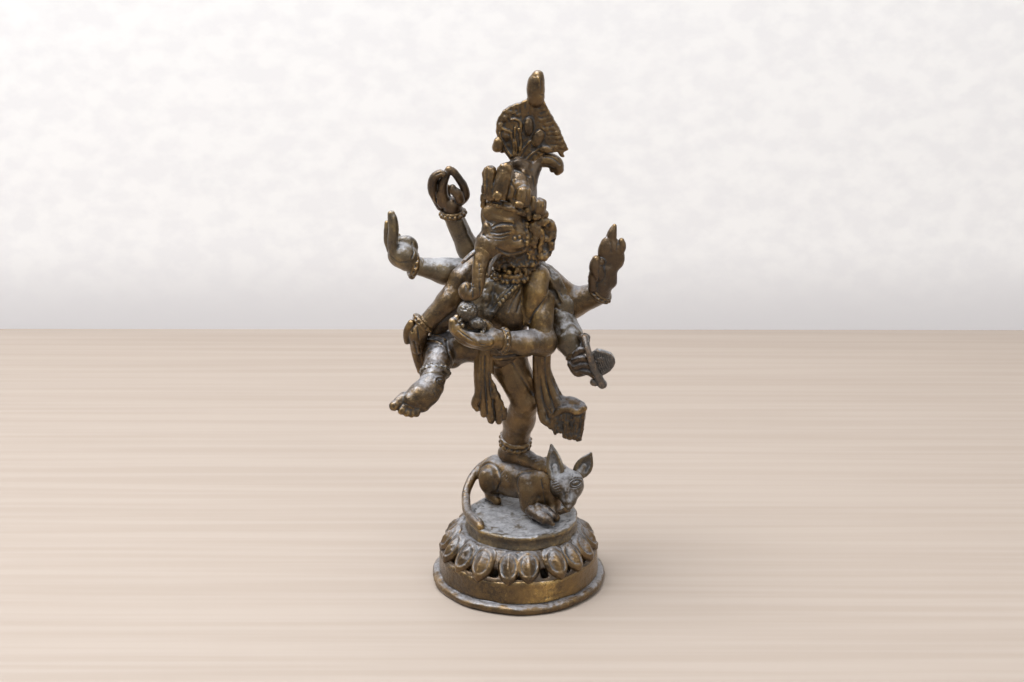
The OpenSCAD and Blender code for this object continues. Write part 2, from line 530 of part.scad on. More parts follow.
// rings at five wrists
module bracelets() {
    color(worn) translate([0, 0, lift]) difference() {
        union() {
            ring([-29.2, -3, 91.8], [-7.2, -1.5, -7], 3.2, 0.9);
            ring([-5, -11.4, 88.2], [-6.2, -2.7, 1.5], 3.5, 1);
            ring([-21, 8.4, 124.4], [-0.4, -1, 5], 3.4, 1);
            ring([-32.4, 4.4, 107.9], [-8.2, -2, 2.2], 3.3, 1);
            ring([25.8, 6.5, 98.6], [4, -2, 5], 4, 1);
        }
        s_front_right_arm(); s_front_right_hand();
        s_front_left_forearm(); s_front_left_hand();
        s_upper_right_arm(); s_upper_right_hand();
        s_lower_right_arm(); s_lower_right_hand();
        s_upper_left_arm(); s_upper_left_hand();
    }
}

foot_ring();
base_band();
lotus_shoulder();
lotus_petals();
platform_drum();
figure_pin();
mouse_body();
mouse_head();
mouse_ears();
mouse_tail();
mouse_sweets();
standing_leg();
standing_anklet();
raised_leg();
raised_anklet();
torso();
chest_cloth();
necklace();
sash_end_centre();
sash_end_side();
head();
trunk();
tusks();
ear_left();
ear_right();
crown_band();
crown_leaves();
crown_jewels();
topknot();
crest_fan();
crest_finial();
crest_curls();
rear_arm_block();
front_right_arm();
front_right_hand();
front_left_upper_arm();
front_left_forearm();
front_left_hand();
sweets();
upper_right_arm();
upper_right_hand();
lower_right_arm();
lower_right_hand();
upper_left_arm();
upper_left_hand();
lower_left_arm();
lower_left_hand();
axe();
bracelets();
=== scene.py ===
# Looks for a small cast brass dancing figure. Lengths below are in millimetres and go to metres when a mesh is made.
import math
import bpy
import numpy as np
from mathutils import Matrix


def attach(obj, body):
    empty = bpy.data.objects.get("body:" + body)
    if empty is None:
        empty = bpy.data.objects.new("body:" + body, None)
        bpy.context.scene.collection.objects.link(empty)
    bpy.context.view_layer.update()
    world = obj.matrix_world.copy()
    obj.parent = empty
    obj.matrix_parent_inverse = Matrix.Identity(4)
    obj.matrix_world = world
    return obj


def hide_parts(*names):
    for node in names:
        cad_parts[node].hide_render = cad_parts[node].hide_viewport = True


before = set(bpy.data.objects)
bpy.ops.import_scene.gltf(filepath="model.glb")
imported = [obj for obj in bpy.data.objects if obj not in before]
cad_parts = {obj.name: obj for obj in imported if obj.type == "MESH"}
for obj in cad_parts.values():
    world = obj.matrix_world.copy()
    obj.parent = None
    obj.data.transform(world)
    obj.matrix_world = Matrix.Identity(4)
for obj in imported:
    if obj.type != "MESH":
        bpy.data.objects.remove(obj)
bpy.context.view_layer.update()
MM = 0.001
F32 = np.float32

# ------------------------------------------------------------------ shapes as distance fields
def V(p):
    return np.array(p, dtype=np.float64)

def unit(v):
    v = V(v)
    return v / np.linalg.norm(v)

def axes(z, out=(0, -1, 0)):
    """Rows are x, y, z axes of a local frame whose z runs along z and whose y points roughly to out."""
    z = unit(z)
    y = V(out) - np.dot(out, z) * z
    y = unit(y)
    x = np.cross(y, z)
    return np.array([x, y, z])

class Prim:
    def __init__(s, f, lo, hi):
        s.f, s.lo, s.hi = f, V(lo), V(hi)

def cone(a, b, ra, rb):
    a, b = V(a), V(b)
    ab = b - a
    l2 = max(float(ab @ ab), 1e-9)
    a_ = a.astype(F32); ab_ = ab.astype(F32)
    def f(x, y, z):
        px, py, pz = x - a_[0], y - a_[1], z - a_[2]
        t = np.clip((px * ab_[0] + py * ab_[1] + pz * ab_[2]) / F32(l2), 0, 1)
        return np.sqrt((px - t * ab_[0]) ** 2 + (py - t * ab_[1]) ** 2 + (pz - t * ab_[2]) ** 2) - (F32(ra) + F32(rb - ra) * t)
    r = max(ra, rb)
    return Prim(f, np.minimum(a, b) - r, np.maximum(a, b) + r)

def ball(c, r):
    return cone(c, V(c) + (0, 0, 1e-3), r, r)

def ell(c, r, M=None):
    """An ellipsoid with half sizes r along the rows of M."""
    c = V(c); r = V(r)
    M = np.eye(3) if M is None else M
    m = M.astype(F32); c_ = c.astype(F32); r_ = r.astype(F32)
    def f(x, y, z):
        px, py, pz = x - c_[0], y - c_[1], z - c_[2]
        u = (m[0, 0] * px + m[0, 1] * py + m[0, 2] * pz) / r_[0]
        v = (m[1, 0] * px + m[1, 1] * py + m[1, 2] * pz) / r_[1]
        w = (m[2, 0] * px + m[2, 1] * py + m[2, 2] * pz) / r_[2]
        k0 = np.sqrt(u * u + v * v + w * w)
        k1 = np.sqrt((u / r_[0]) ** 2 + (v / r_[1]) ** 2 + (w / r_[2]) ** 2)
        return k0 * (k0 - 1) / np.maximum(k1, F32(1e-6))
    ext = np.sqrt(((M * r[:, None]) ** 2).sum(0))
    return Prim(f, c - ext, c + ext)

def box(c, b, M=None, r=0.4):
    """A box with half sizes b along the rows of M, its edges rounded by r."""
    c = V(c); b = V(b)
    M = np.eye(3) if M is None else M
    m = M.astype(F32); c_ = c.astype(F32); q = (b - r).astype(F32)
    def f(x, y, z):
        px, py, pz = x - c_[0], y - c_[1], z - c_[2]
        u = np.abs(m[0, 0] * px + m[0, 1] * py + m[0, 2] * pz) - q[0]
        v = np.abs(m[1, 0] * px + m[1, 1] * py + m[1, 2] * pz) - q[1]
        w = np.abs(m[2, 0] * px + m[2, 1] * py + m[2, 2] * pz) - q[2]
        o = np.sqrt(np.maximum(u, 0) ** 2 + np.maximum(v, 0) ** 2 + np.maximum(w, 0) ** 2)
        return o + np.minimum(np.maximum(np.maximum(u, v), w), 0) - F32(r)
    ext = (np.abs(M) * b[:, None]).sum(0)
    return Prim(f, c - ext, c + ext)

def torus(c, n, R, r, squash=1.0, out=(0, -1, 0.01)):
    """A ring of radius R and tube r round the axis n; squash flattens the tube along n."""
    c = V(c); M = axes(n, out).astype(F32); c_ = c.astype(F32)
    def f(x, y, z):
        px, py, pz = x - c_[0], y - c_[1], z - c_[2]
        u = M[0, 0] * px + M[0, 1] * py + M[0, 2] * pz
        v = M[1, 0] * px + M[1, 1] * py + M[1, 2] * pz
        w = (M[2, 0] * px + M[2, 1] * py + M[2, 2] * pz) / F32(squash)
        return np.sqrt((np.sqrt(u * u + v * v) - F32(R)) ** 2 + w * w) - F32(r)
    e = R + r * max(1, squash)
    return Prim(f, c - e, c + e)

def half(n, p, lo, hi):
    """The half space on the side of p that n points away from."""
    n = unit(n); d = float(n @ V(p))
    def f(x, y, z):
        return F32(n[0]) * x + F32(n[1]) * y + F32(n[2]) * z - F32(d)
    return Prim(f, lo, hi)

def plate(pts, c, M, t, r=0.3):
    """A flat plate: the polygon pts in the plane of M's x and z rows through c, half thickness t along y."""
    pts = np.array(pts, dtype=np.float64); m = M.astype(F32); c_ = V(c).astype(F32)
    def f(x, y, z):
        px, py, pz = x - c_[0], y - c_[1], z - c_[2]
        u = m[0, 0] * px + m[0, 1] * py + m[0, 2] * pz
        v = m[1, 0] * px + m[1, 1] * py + m[1, 2] * pz
        w = m[2, 0] * px + m[2, 1] * py + m[2, 2] * pz
        u, v, w = np.broadcast_arrays(u, v, w)
        d = np.full(u.shape, 1e6, F32); s = np.ones(u.shape, F32)
        n = len(pts)
        for i in range(n):
            a, b = pts[i], pts[i - 1]
            ex, ey = b - a
            wx, wy = u - F32(a[0]), w - F32(a[1])
            h = np.clip((wx * F32(ex) + wy * F32(ey)) / F32(ex * ex + ey * ey), 0, 1)
            d = np.minimum(d, (wx - F32(ex) * h) ** 2 + (wy - F32(ey) * h) ** 2)
            c1 = w >= F32(a[1]); c2 = w < F32(b[1]); c3 = F32(ex) * wy > F32(ey) * wx
            flip = (c1 & c2 & c3) | (~c1 & ~c2 & ~c3)
            s = np.where(flip, -s, s)
        d = s * np.sqrt(d) + F32(r)
        q = np.abs(v) - F32(t - r)
        return np.minimum(np.maximum(d, q), 0) + np.sqrt(np.maximum(d, 0) ** 2 + np.maximum(q, 0) ** 2) - F32(r)
    world = V(c) + np.array([p[0] * M[0] + p[1] * M[2] + s * t * M[1] for p in pts for s in (-1, 1)])
    return Prim(f, world.min(0), world.max(0))

def lathe(c, prof, zlo, zhi, rmax):
    """A turned shape: prof(r, z, angle) is its distance field round the vertical axis through c."""
    c = V(c); c_ = c.astype(F32)
    def f(x, y, z):
        px, py = x - c_[0], y - c_[1]
        rr = np.sqrt(px * px + py * py)
        return prof(rr, z, np.arctan2(py, px))
    return Prim(f, (c[0] - rmax, c[1] - rmax, zlo), (c[0] + rmax, c[1] + rmax, zhi))

def poly2(pts):
    """Signed distance to a polygon in (r, z)."""
    pts = np.array(pts, dtype=np.float64)
    def f(u, w):
        u, w = np.broadcast_arrays(u, w)
        d = np.full(u.shape, 1e6, F32); s = np.ones(u.shape, F32)
        for i in range(len(pts)):
            a, b = pts[i], pts[i - 1]
            ex, ey = b - a
            wx, wy = u - F32(a[0]), w - F32(a[1])
            h = np.clip((wx * F32(ex) + wy * F32(ey)) / F32(ex * ex + ey * ey), 0, 1)
            d = np.minimum(d, (wx - F32(ex) * h) ** 2 + (wy - F32(ey) * h) ** 2)
            c1 = w >= F32(a[1]); c2 = w < F32(b[1]); c3 = F32(ex) * wy > F32(ey) * wx
            s = np.where((c1 & c2 & c3) | (~c1 & ~c2 & ~c3), -s, s)
        return s * np.sqrt(d)
    return f

def curve(p, n=8):
    """Points of a smooth curve through p, n for each span; p may carry a radius as a fourth number."""
    p = np.array(p, dtype=np.float64)
    q = np.vstack([2 * p[0] - p[1], p, 2 * p[-1] - p[-2]])
    out = []
    for i in range(1, len(q) - 2):
        a, b, c, d = q[i - 1], q[i], q[i + 1], q[i + 2]
        for t in np.arange(n) / n:
            out.append(0.5 * (2 * b + (c - a) * t + (2 * a - 5 * b + 4 * c - d) * t * t + (3 * b - a - 3 * c + d) * t ** 3))
    out.append(q[-2])
    return np.array(out)

def smin(a, b, k):
    if k <= 0:
        return np.minimum(a, b)
    h = np.maximum(F32(k) - np.abs(a - b), 0) / F32(k)
    return np.minimum(a, b) - h * h * F32(k / 4)

class Sculpt:
    """A list of shapes joined, cut and trimmed in order."""
    def __init__(s, h=0.25):
        s.h, s.ops, s.trims = h, [], []
    def u(s, prim, k=0.5):
        s.ops.append(("u", k, prim)); return s
    def cut(s, prim, k=0.2):
        s.ops.append(("c", k, prim)); return s
    def keep(s, prim, k=0.1):
        s.ops.append(("i", k, prim)); return s
    def limb(s, p, r, k=1.5):
        for i in range(len(p) - 1):
            s.u(cone(p[i], p[i + 1], r[i], r[i + 1]), k)
        return s
    def tube(s, p, r, k=0.4, n=6, op="u"):
        """A round tube on a smooth curve through p; r is one radius or one for each point."""
        r = [r] * len(p) if np.isscalar(r) else r
        c = curve([list(a) + [b] for a, b in zip(p, r)], n)
        prims = [cone(c[i, :3], c[i + 1, :3], max(c[i, 3], 0.05), max(c[i + 1, 3], 0.05)) for i in range(len(c) - 1)]
        sub = union(prims)
        s.ops.append((op, k, sub)); return s
    def groove(s, p, r=0.3, k=0.15, n=6, snap=True):
        if snap: p = s.onto(p)
        return s.tube(p, r, k, n, "c")
    def ridge(s, p, r=0.35, k=0.3, n=6, snap=True):
        if snap: p = s.onto(p)
        return s.tube(p, r, k, n, "u")
    def dot(s, p, r, k=0.15, snap=True):
        if snap: p = s.onto([p])[0]
        return s.u(ball(p, r), k)
    def field(s, x, y, z):
        """The whole field at given points, as a flat array."""
        x, y, z = (np.asarray(v, F32) for v in (x, y, z))
        D = np.full(np.broadcast(x, y, z).shape, 50, F32)
        for mode, k, prim in s.ops:
            D = s._mix(mode, k, D, prim.f(x, y, z))
        return D
    @staticmethod
    def _mix(mode, k, D, d):
        if mode == "u": return smin(D, d, k)
        if mode == "c": return -smin(-D, d, k)
        return -smin(-D, -d, k)
    def onto(s, pts, eye=None):
        """Moves each point along its line of sight from the front onto the surface."""
        eye = EYE if eye is None else V(eye)
        out = []
        for p in pts:
            p = V(p); d = unit(p - eye)
            t = np.linspace(-14, 14, 141)
            q = p + t[:, None] * d
            f = s.field(q[:, 0], q[:, 1], q[:, 2])
            i = np.argmax(f < 0) if (f < 0).any() else int(np.argmin(f))
            if (f < 0).any() and i > 0:
                lo, hi = t[i - 1], t[i]
                for _ in range(12):
                    m = 0.5 * (lo + hi); a = p + m * d
                    if s.field(a[0:1], a[1:2], a[2:3])[0] < 0: hi = m
                    else: lo = m
                out.append(p + hi * d)
            else:
                out.append(p + t[i] * d)
        return out
    def grid(s):
        lo = np.min([p.lo for m, k, p in s.ops if m == "u"], 0)
        hi = np.max([p.hi for m, k, p in s.ops if m == "u"], 0)
        h = s.h * 1.25
        lo = lo - 4 * h; n = np.ceil((hi + 4 * h - lo) / h).astype(int) + 1
        X = [(lo[i] + h * np.arange(n[i])).astype(F32) for i in range(3)]
        return lo, h, n, X
    @staticmethod
    def apply(D, ops, lo, h, n, X):
        for mode, k, prim in ops:
            pad = k + 2.5 * h
            if mode == "i":
                a = np.zeros(3, int); b = n
            else:
                a = np.clip(np.floor((prim.lo - pad - lo) / h).astype(int), 0, n)
                b = np.clip(np.ceil((prim.hi + pad - lo) / h).astype(int) + 1, 0, n)
            if (b <= a).any():
                continue
            sl = tuple(slice(a[i], b[i]) for i in range(3))
            x = X[0][sl[0]][:, None, None]; y = X[1][sl[1]][None, :, None]; z = X[2][sl[2]][None, None, :]
            D[sl] = Sculpt._mix(mode, k, D[sl], prim.f(x, y, z))
        return D
    def evaluate(s):
        lo, h, n, X = s.grid()
        D = np.full(n, 50, F32)
        s.apply(D, s.ops, lo, h, n, X)
        for other, gap, k in s.trims:
            E = np.full(n, 50, F32)
            s.apply(E, other.ops, lo, h, n, X)
            if k > 0:                       # flare softly onto the neighbour, then stop at its skin
                B = smin(D, E, k)
                D = np.maximum(B, np.maximum(-(E + F32(gap)), F32(0.03) - (E - B)))
            else:
                D = np.maximum(D, -(E + F32(gap)))
        return D, lo, h, n
    def trim(s, *others, gap=0.0, k=0.0):
        for o in others: s.trims.append((o, gap, k))
        return s

def union(prims):
    lo = np.min([p.lo for p in prims], 0); hi = np.max([p.hi for p in prims], 0)
    def f(x, y, z):
        D = prims[0].f(x, y, z)
        for p in prims[1:]: D = np.minimum(D, p.f(x, y, z))
        return D
    return Prim(f, lo, hi)

def quads(D, lo, h):
    """The surface where D is zero, as vertices and quads."""
    try:
        import openvdb as vdb
        g = vdb.FloatGrid(3.0)
        g.copyFromArray(np.clip(D, -3, 3).astype(np.float32))
        p, q = g.convertToQuads(0.0)
        return np.asarray(p, np.float64) * h + lo, np.asarray(q, np.int64)
    except ImportError:
        return nets(D, lo, h)

def nets(D, lo, h):
    """Surface nets, for a Blender without openvdb."""
    S = D < 0
    c = np.zeros([n - 1 for n in D.shape], np.int8)
    for i in (0, 1):
        for j in (0, 1):
            for k in (0, 1):
                c += S[i:i + c.shape[0], j:j + c.shape[1], k:k + c.shape[2]]
    cells = np.argwhere((c > 0) & (c < 8))
    idx = -np.ones(c.shape, np.int64); idx[tuple(cells.T)] = np.arange(len(cells))
    acc = np.zeros((len(cells), 3)); cnt = np.zeros(len(cells))
    for ax in range(3):
        o = [v for v in range(3) if v != ax]
        for i in (0, 1):
            for j in (0, 1):
                a = cells.copy(); a[:, o[0]] += i; a[:, o[1]] += j
                b = a.copy(); b[:, ax] += 1
                da, db = D[tuple(a.T)], D[tuple(b.T)]
                m = (da < 0) != (db < 0)
                t = da[m] / (da[m] - db[m])
                pt = a[m].astype(float); pt[:, ax] += t
                acc[m] += pt; cnt[m] += 1
    vert = acc / cnt[:, None] * h + lo
    faces = []
    for ax in range(3):
        o = [(ax + 1) % 3, (ax + 2) % 3]
        sl0 = [slice(1, -1)] * 3; sl0[ax] = slice(0, -1)
        a = np.argwhere(S[tuple(sl0)] != S[tuple(slice(1, None) if v == ax else slice(1, -1) for v in range(3))])
        a += [1 if v != ax else 0 for v in range(3)]
        q = []
        for i, j in ((0, 0), (1, 0), (1, 1), (0, 1)):
            b = a.copy(); b[:, o[0]] -= i; b[:, o[1]] -= j
            q.append(idx[tuple(b.T)])
        q = np.stack(q, 1)
        flip = S[tuple(a.T)]
        q[~flip] = q[~flip][:, ::-1]
        faces.append(q)
    return vert, np.vstack(faces)

# ------------------------------------------------------------------ noise and mesh work
def hash3(i, j, k, seed):
    with np.errstate(over="ignore"):
        n = (i.astype(np.uint32) * np.uint32(374761393) + j.astype(np.uint32) * np.uint32(668265263)
             + k.astype(np.uint32) * np.uint32(2246822519) + np.uint32(seed * 3266489917 % 4294967296))
        n = (n ^ (n >> np.uint32(13))) * np.uint32(1274126177)
        n = n ^ (n >> np.uint32(16))
    return n.astype(np.float64) / 4294967296.0

def noise(P, size, seed=1):
    """Smooth noise from -1 to 1 with lumps about size across."""
    Q = np.asarray(P, np.float64) / size + 1000.0
    i = np.floor(Q).astype(np.int64); f = Q - i; f = f * f * (3 - 2 * f)
    out = 0
    for a in (0, 1):
        for b in (0, 1):
            for c in (0, 1):
                w = (f[:, 0] if a else 1 - f[:, 0]) * (f[:, 1] if b else 1 - f[:, 1]) * (f[:, 2] if c else 1 - f[:, 2])
                out = out + w * hash3(i[:, 0] + a, i[:, 1] + b, i[:, 2] + c, seed)
    return out * 2 - 1

def edges_of(q):
    e = np.vstack([q[:, [0, 1]], q[:, [1, 2]], q[:, [2, 3]], q[:, [3, 0]]])
    return e

def smooth(val, e, n, times):
    """Averages values over neighbouring vertices."""
    deg = np.bincount(e[:, 0], minlength=n) + np.bincount(e[:, 1], minlength=n)
    deg = np.maximum(deg, 1)
    for _ in range(times):
        if val.ndim == 1:
            acc = np.bincount(e[:, 0], val[e[:, 1]], n) + np.bincount(e[:, 1], val[e[:, 0]], n)
            val = 0.5 * val + 0.5 * acc / deg
        else:
            acc = np.stack([np.bincount(e[:, 0], val[e[:, 1], c], n) + np.bincount(e[:, 1], val[e[:, 0], c], n) for c in range(3)], 1)
            val = 0.5 * val + 0.5 * acc / deg[:, None]
    return val

def normals(v, q):
    d1 = v[q[:, 2]] - v[q[:, 0]]; d2 = v[q[:, 3]] - v[q[:, 1]]
    fn = np.cross(d1, d2)
    n = np.zeros_like(v)
    for c in range(4):
        for a in range(3):
            n[:, a] += np.bincount(q[:, c], fn[:, a], len(v))
    return n / np.maximum(np.linalg.norm(n, axis=1), 1e-12)[:, None]

def biggest(v, q, least=0.02):
    """Drops crumbs: keeps the connected shells with at least this share of the largest one's faces."""
    n = len(v); lab = np.arange(n); e = edges_of(q)
    for _ in range(400):
        m = np.minimum(lab[e[:, 0]], lab[e[:, 1]])
        new = lab.copy()
        np.minimum.at(new, e[:, 0], m); np.minimum.at(new, e[:, 1], m)
        new = new[new]; new = new[new]
        if (new == lab).all(): break
        lab = new
    fl = lab[q[:, 0]]; ids, cnt = np.unique(fl, return_counts=True)
    good = ids[cnt >= max(least * cnt.max(), 40)]
    q = q[np.isin(fl, good)]
    used = np.unique(q); remap = -np.ones(n, np.int64); remap[used] = np.arange(len(used))
    return v[used], remap[q]

STATS = []
def field(k, v, n):
    return k(v, n) * np.ones(len(v)) if callable(k) else np.full(len(v), float(k))

def make(name, sc, nodes, slot, rough=0.05, grain=0.02, dust=0.0, wear_and_painted_light=0.0, tone_and_shade=0.0, seed=1, extra=None, polish=0):
    """Turns a sculpt into a finished piece that stands for CAD nodes. Its dust, wear and tone values shift the patina;
    on some pieces wear also paints a highlight, and lowered wear and tone paint shade.
    """
    D, lo, h, n = sc.evaluate()
    v, q = quads(D, lo, h)
    v, q = biggest(v, q)
    e = edges_of(q)
    if polish: v = smooth(v, e, len(v), polish)
    nn = normals(v, q)
    inside = float(np.mean(np.sum(nn * (v - v.mean(0)), 1)))
    vol = float(np.sum(np.einsum("ij,ij->i", v[q[:, 0]], np.cross(v[q[:, 1]], v[q[:, 2]])) + np.einsum("ij,ij->i", v[q[:, 0]], np.cross(v[q[:, 2]], v[q[:, 3]]))))
    if vol < 0:
        q = q[:, ::-1]; nn = -nn
    # cast skin: soft lumps, then fine grain
    low = noise(v, 3.2, seed) * rough + noise(v, 1.3, seed + 7) * rough * 0.5
    fine = noise(v, 0.55, seed + 3) * grain
    dz = low + fine
    if extra is not None: dz = dz + extra(v, nn)
    base = np.minimum(1.0, np.maximum(v[:, 2], 0) / 0.6)      # the foot stays flat on the ground
    v = v + nn * (dz * base)[:, None]
    v[:, 2] = np.maximum(v[:, 2], 0.0)
    nn = normals(v, q)
    # how proud or how sunk each place is, at a small and at a larger scale
    s1 = max(2, int(round(6 * (0.25 / h) ** 2))); s2 = max(6, int(round(34 * (0.25 / h) ** 2)))
    s1, s2 = min(s1, 14), min(s2, 60)
    va = smooth(v, e, len(v), s1); vb = smooth(va, e, len(v), s2)
    c1 = np.sum((v - va) * nn, 1); c2 = np.sum((v - vb) * nn, 1)
    c1 = smooth(c1, e, len(v), 1)
    me = bpy.data.meshes.new(name)
    me.vertices.add(len(v)); me.vertices.foreach_set("co", (v * MM).astype(np.float32).ravel())
    me.loops.add(4 * len(q)); me.loops.foreach_set("vertex_index", q.astype(np.int32).ravel())
    me.polygons.add(len(q)); me.polygons.foreach_set("loop_start", np.arange(0, 4 * len(q), 4, dtype=np.int32))
    me.update(calc_edges=True); me.validate()
    me.polygons.foreach_set("use_smooth", np.ones(len(me.polygons), bool))
    for key, val in (("proud", c1 * 10.0), ("swell", c2 * 2.2), ("dusty", field(dust, v, nn)), ("rubbed_and_painted_light", field(wear_and_painted_light, v, nn)), ("tone_and_shade", field(tone_and_shade, v, nn))):
        a = me.attributes.new(key, "FLOAT", "POINT")
        if len(me.vertices) == len(v): a.data.foreach_set("value", val.astype(np.float32))
    me.update()
    ob = bpy.data.objects.new(name, me)
    bpy.context.scene.collection.objects.link(ob)
    ob.data.materials.append(MATS[slot])
    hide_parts(*nodes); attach(ob, "root")
    STATS.append((name, len(q)))
    return ob

# ------------------------------------------------------------------ materials
def shader(name, dark, mid, gold, dust, dust_sheen_bias=0.0, wear_bias=0.0, metal=0.85, rough=0.40, grain=1.0, coat=0.48):
    """Old cast brass: brown skin, worn golden high spots, grey dust plus a painted grey sky sheen on what faces up,
    near-black grime in hollows. On some pieces the worn gold also carries a painted highlight, and the hollows and the
    darker tone carry painted shade.
    """
    m = bpy.data.materials.new(name); m.use_nodes = True
    nt = m.node_tree; N = nt.nodes; L = nt.links
    b = N["Principled BSDF"]
    def node(t, **kw):
        n = N.new(t)
        for k, v in kw.items(): setattr(n, k, v)
        return n
    def math(op, a, c, clamp=False):
        n = node("ShaderNodeMath", operation=op, use_clamp=clamp)
        for i, x in enumerate((a, c)):
            if isinstance(x, (int, float)): n.inputs[i].default_value = x
            else: L.new(x, n.inputs[i])
        return n.outputs[0]
    def madd(a, s, c):
        n = node("ShaderNodeMath", operation="MULTIPLY_ADD")
        L.new(a, n.inputs[0]); n.inputs[1].default_value = s
        if isinstance(c, (int, float)): n.inputs[2].default_value = c
        else: L.new(c, n.inputs[2])
        return n.outputs[0]
    def step(a, lo, hi):
        n = node("ShaderNodeMapRange", interpolation_type="SMOOTHSTEP")
        L.new(a, n.inputs["Value"]); n.inputs["From Min"].default_value = lo; n.inputs["From Max"].default_value = hi
        return n.outputs["Result"]
    def attr(k):
        return node("ShaderNodeAttribute", attribute_type="GEOMETRY", attribute_name=k).outputs["Fac"]
    def mix(f, a, c):
        n = node("ShaderNodeMix", data_type="RGBA", clamp_factor=True)
        L.new(f, n.inputs[0])
        for i, x in ((6, a), (7, c)):
            if isinstance(x, tuple): n.inputs[i].default_value = (*x, 1)
            else: L.new(x, n.inputs[i])
        return n.outputs[2]
    tc = node("ShaderNodeTexCoord").outputs["Object"]
    def noise_(scale, detail, rough_=0.55, dist=0.0):
        n = node("ShaderNodeTexNoise"); L.new(tc, n.inputs["Vector"])
        n.inputs["Scale"].default_value = scale; n.inputs["Detail"].default_value = detail
        n.inputs["Roughness"].default_value = rough_; n.inputs["Distortion"].default_value = dist
        return n.outputs["Fac"]
    n1 = noise_(150, 3); n2 = noise_(800, 4, 0.6, 0.4); n3 = noise_(3200, 3, 0.6); n4 = noise_(420, 3, 0.55, 1.0)
    geo = node("ShaderNodeNewGeometry")
    sep = node("ShaderNodeSeparateXYZ"); L.new(geo.outputs["Normal"], sep.inputs[0])
    up = sep.outputs["Z"]
    proud, swell, dusty, rubbed_and_painted_light, tone_and_shade = (attr(k) for k in ("proud", "swell", "dusty", "rubbed_and_painted_light", "tone_and_shade"))
    # worn gold: proud places, helped by the piece's own rubbing, broken up by noise; the same value also paints a
    # golden highlight on the base band and takes gold out of painted shade on the sash flare and the right arm
    pc = step(proud, 0.0, 1.1)
    w = madd(swell, 0.30, madd(pc, 0.34, madd(n2, 1.0, madd(rubbed_and_painted_light, 1.2, -0.62 + wear_bias))))
    w = madd(n1, 0.9, madd(n4, 0.9, math("SUBTRACT", w, 0.92)))
    wear_and_painted_light = step(w, 0.0, 0.9)
    # near-black grime in small and large hollows; where a piece lowers its tone strongly, this also paints shade
    d = madd(tone_and_shade, -0.30, madd(swell, -0.75, madd(proud, -1.5, madd(n2, 0.6, madd(n4, 0.5, -0.60)))))
    grime_and_shade = step(d, 0.05, 0.75)
    # grey dust, plus a painted grey sky sheen, on faces that look up
    q = madd(up, 1.15, madd(dusty, 1.0, madd(n4, 0.95, madd(n2, 0.75, -1.26 + dust_sheen_bias))))
    q = madd(proud, -0.75, q)
    dust_and_sky_sheen = step(q, 0.1, 0.85)
    # Base colour: a lower tone picks the dark brown; on some pieces the tone is lowered as painted shade.
    c = mix(step(madd(tone_and_shade, 0.5, n1), 0.30, 0.70), dark, mid)
    c = mix(step(n2, 0.35, 0.75), c, tuple(0.7 * x for x in mid))
    speck = step(n3, 0.56, 0.72)
    c = mix(math("MULTIPLY", speck, 0.5), c, tuple(1.7 * x for x in mid))
    c = mix(wear_and_painted_light, c, gold)
    dc = mix(step(n4, 0.35, 0.65), tuple(0.62 * x for x in dust), dust)
    c = mix(math("MULTIPLY", dust_and_sky_sheen, 0.82), c, dc)
    c = mix(math("MULTIPLY", grime_and_shade, 0.85), c, (0.012, 0.010, 0.008))
    L.new(c, b.inputs["Base Color"])
    me = math("MULTIPLY", math("SUBTRACT", 1.0, math("MULTIPLY", dust_and_sky_sheen, 0.75)), math("SUBTRACT", 1.0, math("MULTIPLY", grime_and_shade, 0.7)))
    L.new(math("MULTIPLY", me, metal), b.inputs["Metallic"])
    r = madd(n2, 0.18, madd(dust_and_sky_sheen, 0.20, madd(grime_and_shade, 0.2, rough - 0.09)))
    r = madd(wear_and_painted_light, -0.08, r)
    L.new(math("MAXIMUM", r, 0.22), b.inputs["Roughness"])
    b.inputs["Specular IOR Level"].default_value = 0.5
    b.inputs["Coat Weight"].default_value = coat; b.inputs["Coat Roughness"].default_value = 0.34; b.inputs["Coat IOR"].default_value = 1.55
    hgt = madd(n3, 0.5, madd(n2, 1.0, 0.0))
    bp = node("ShaderNodeBump"); bp.inputs["Strength"].default_value = 0.75 * grain; bp.inputs["Distance"].default_value = 0.00030
    L.new(hgt, bp.inputs["Height"]); L.new(bp.outputs[0], b.inputs["Normal"])
    return m

# GREY, like the last colour given to each material, is the dust colour; it also paints the grey sky sheen on faces that
# look up.
GREY = (0.25, 0.25, 0.27)
MATS = {
    "antique_brass": shader("antique_brass", (0.040, 0.024, 0.010), (0.165, 0.097, 0.034), (0.40, 0.245, 0.078), GREY, rough=0.33),
    "dusty_brass": shader("dusty_brass", (0.050, 0.038, 0.026), (0.160, 0.115, 0.060), (0.38, 0.25, 0.09), (0.38, 0.385, 0.41), dust_sheen_bias=0.16, metal=0.75, rough=0.38),
    "dark_brass": shader("dark_brass", (0.022, 0.015, 0.010), (0.100, 0.060, 0.027), (0.27, 0.165, 0.06), GREY, dust_sheen_bias=-0.05, wear_bias=-0.08, rough=0.36),
    "worn_brass": shader("worn_brass", (0.050, 0.031, 0.014), (0.190, 0.114, 0.038), (0.48, 0.300, 0.090), GREY, wear_bias=0.08, rough=0.31),
    "pale_brass": shader("pale_brass", (0.050, 0.043, 0.037), (0.125, 0.110, 0.100), (0.34, 0.20, 0.09), (0.34, 0.36, 0.40), dust_sheen_bias=0.15, metal=0.6, rough=0.30),
}
EYE = V((0, -604.3, 301.3))

def on(s, p, inset=0.0):
    """The place on sculpt s that the front view sees at p, pushed in by inset."""
    a = s.onto([p])[0]
    return a + inset * unit(a - EYE)

def aimed(p, d, out=(0, -1, 0)):
    return axes(d, out)

def bump(x, c, s):
    return np.exp(-((x - F32(c)) / F32(s)) ** 2)

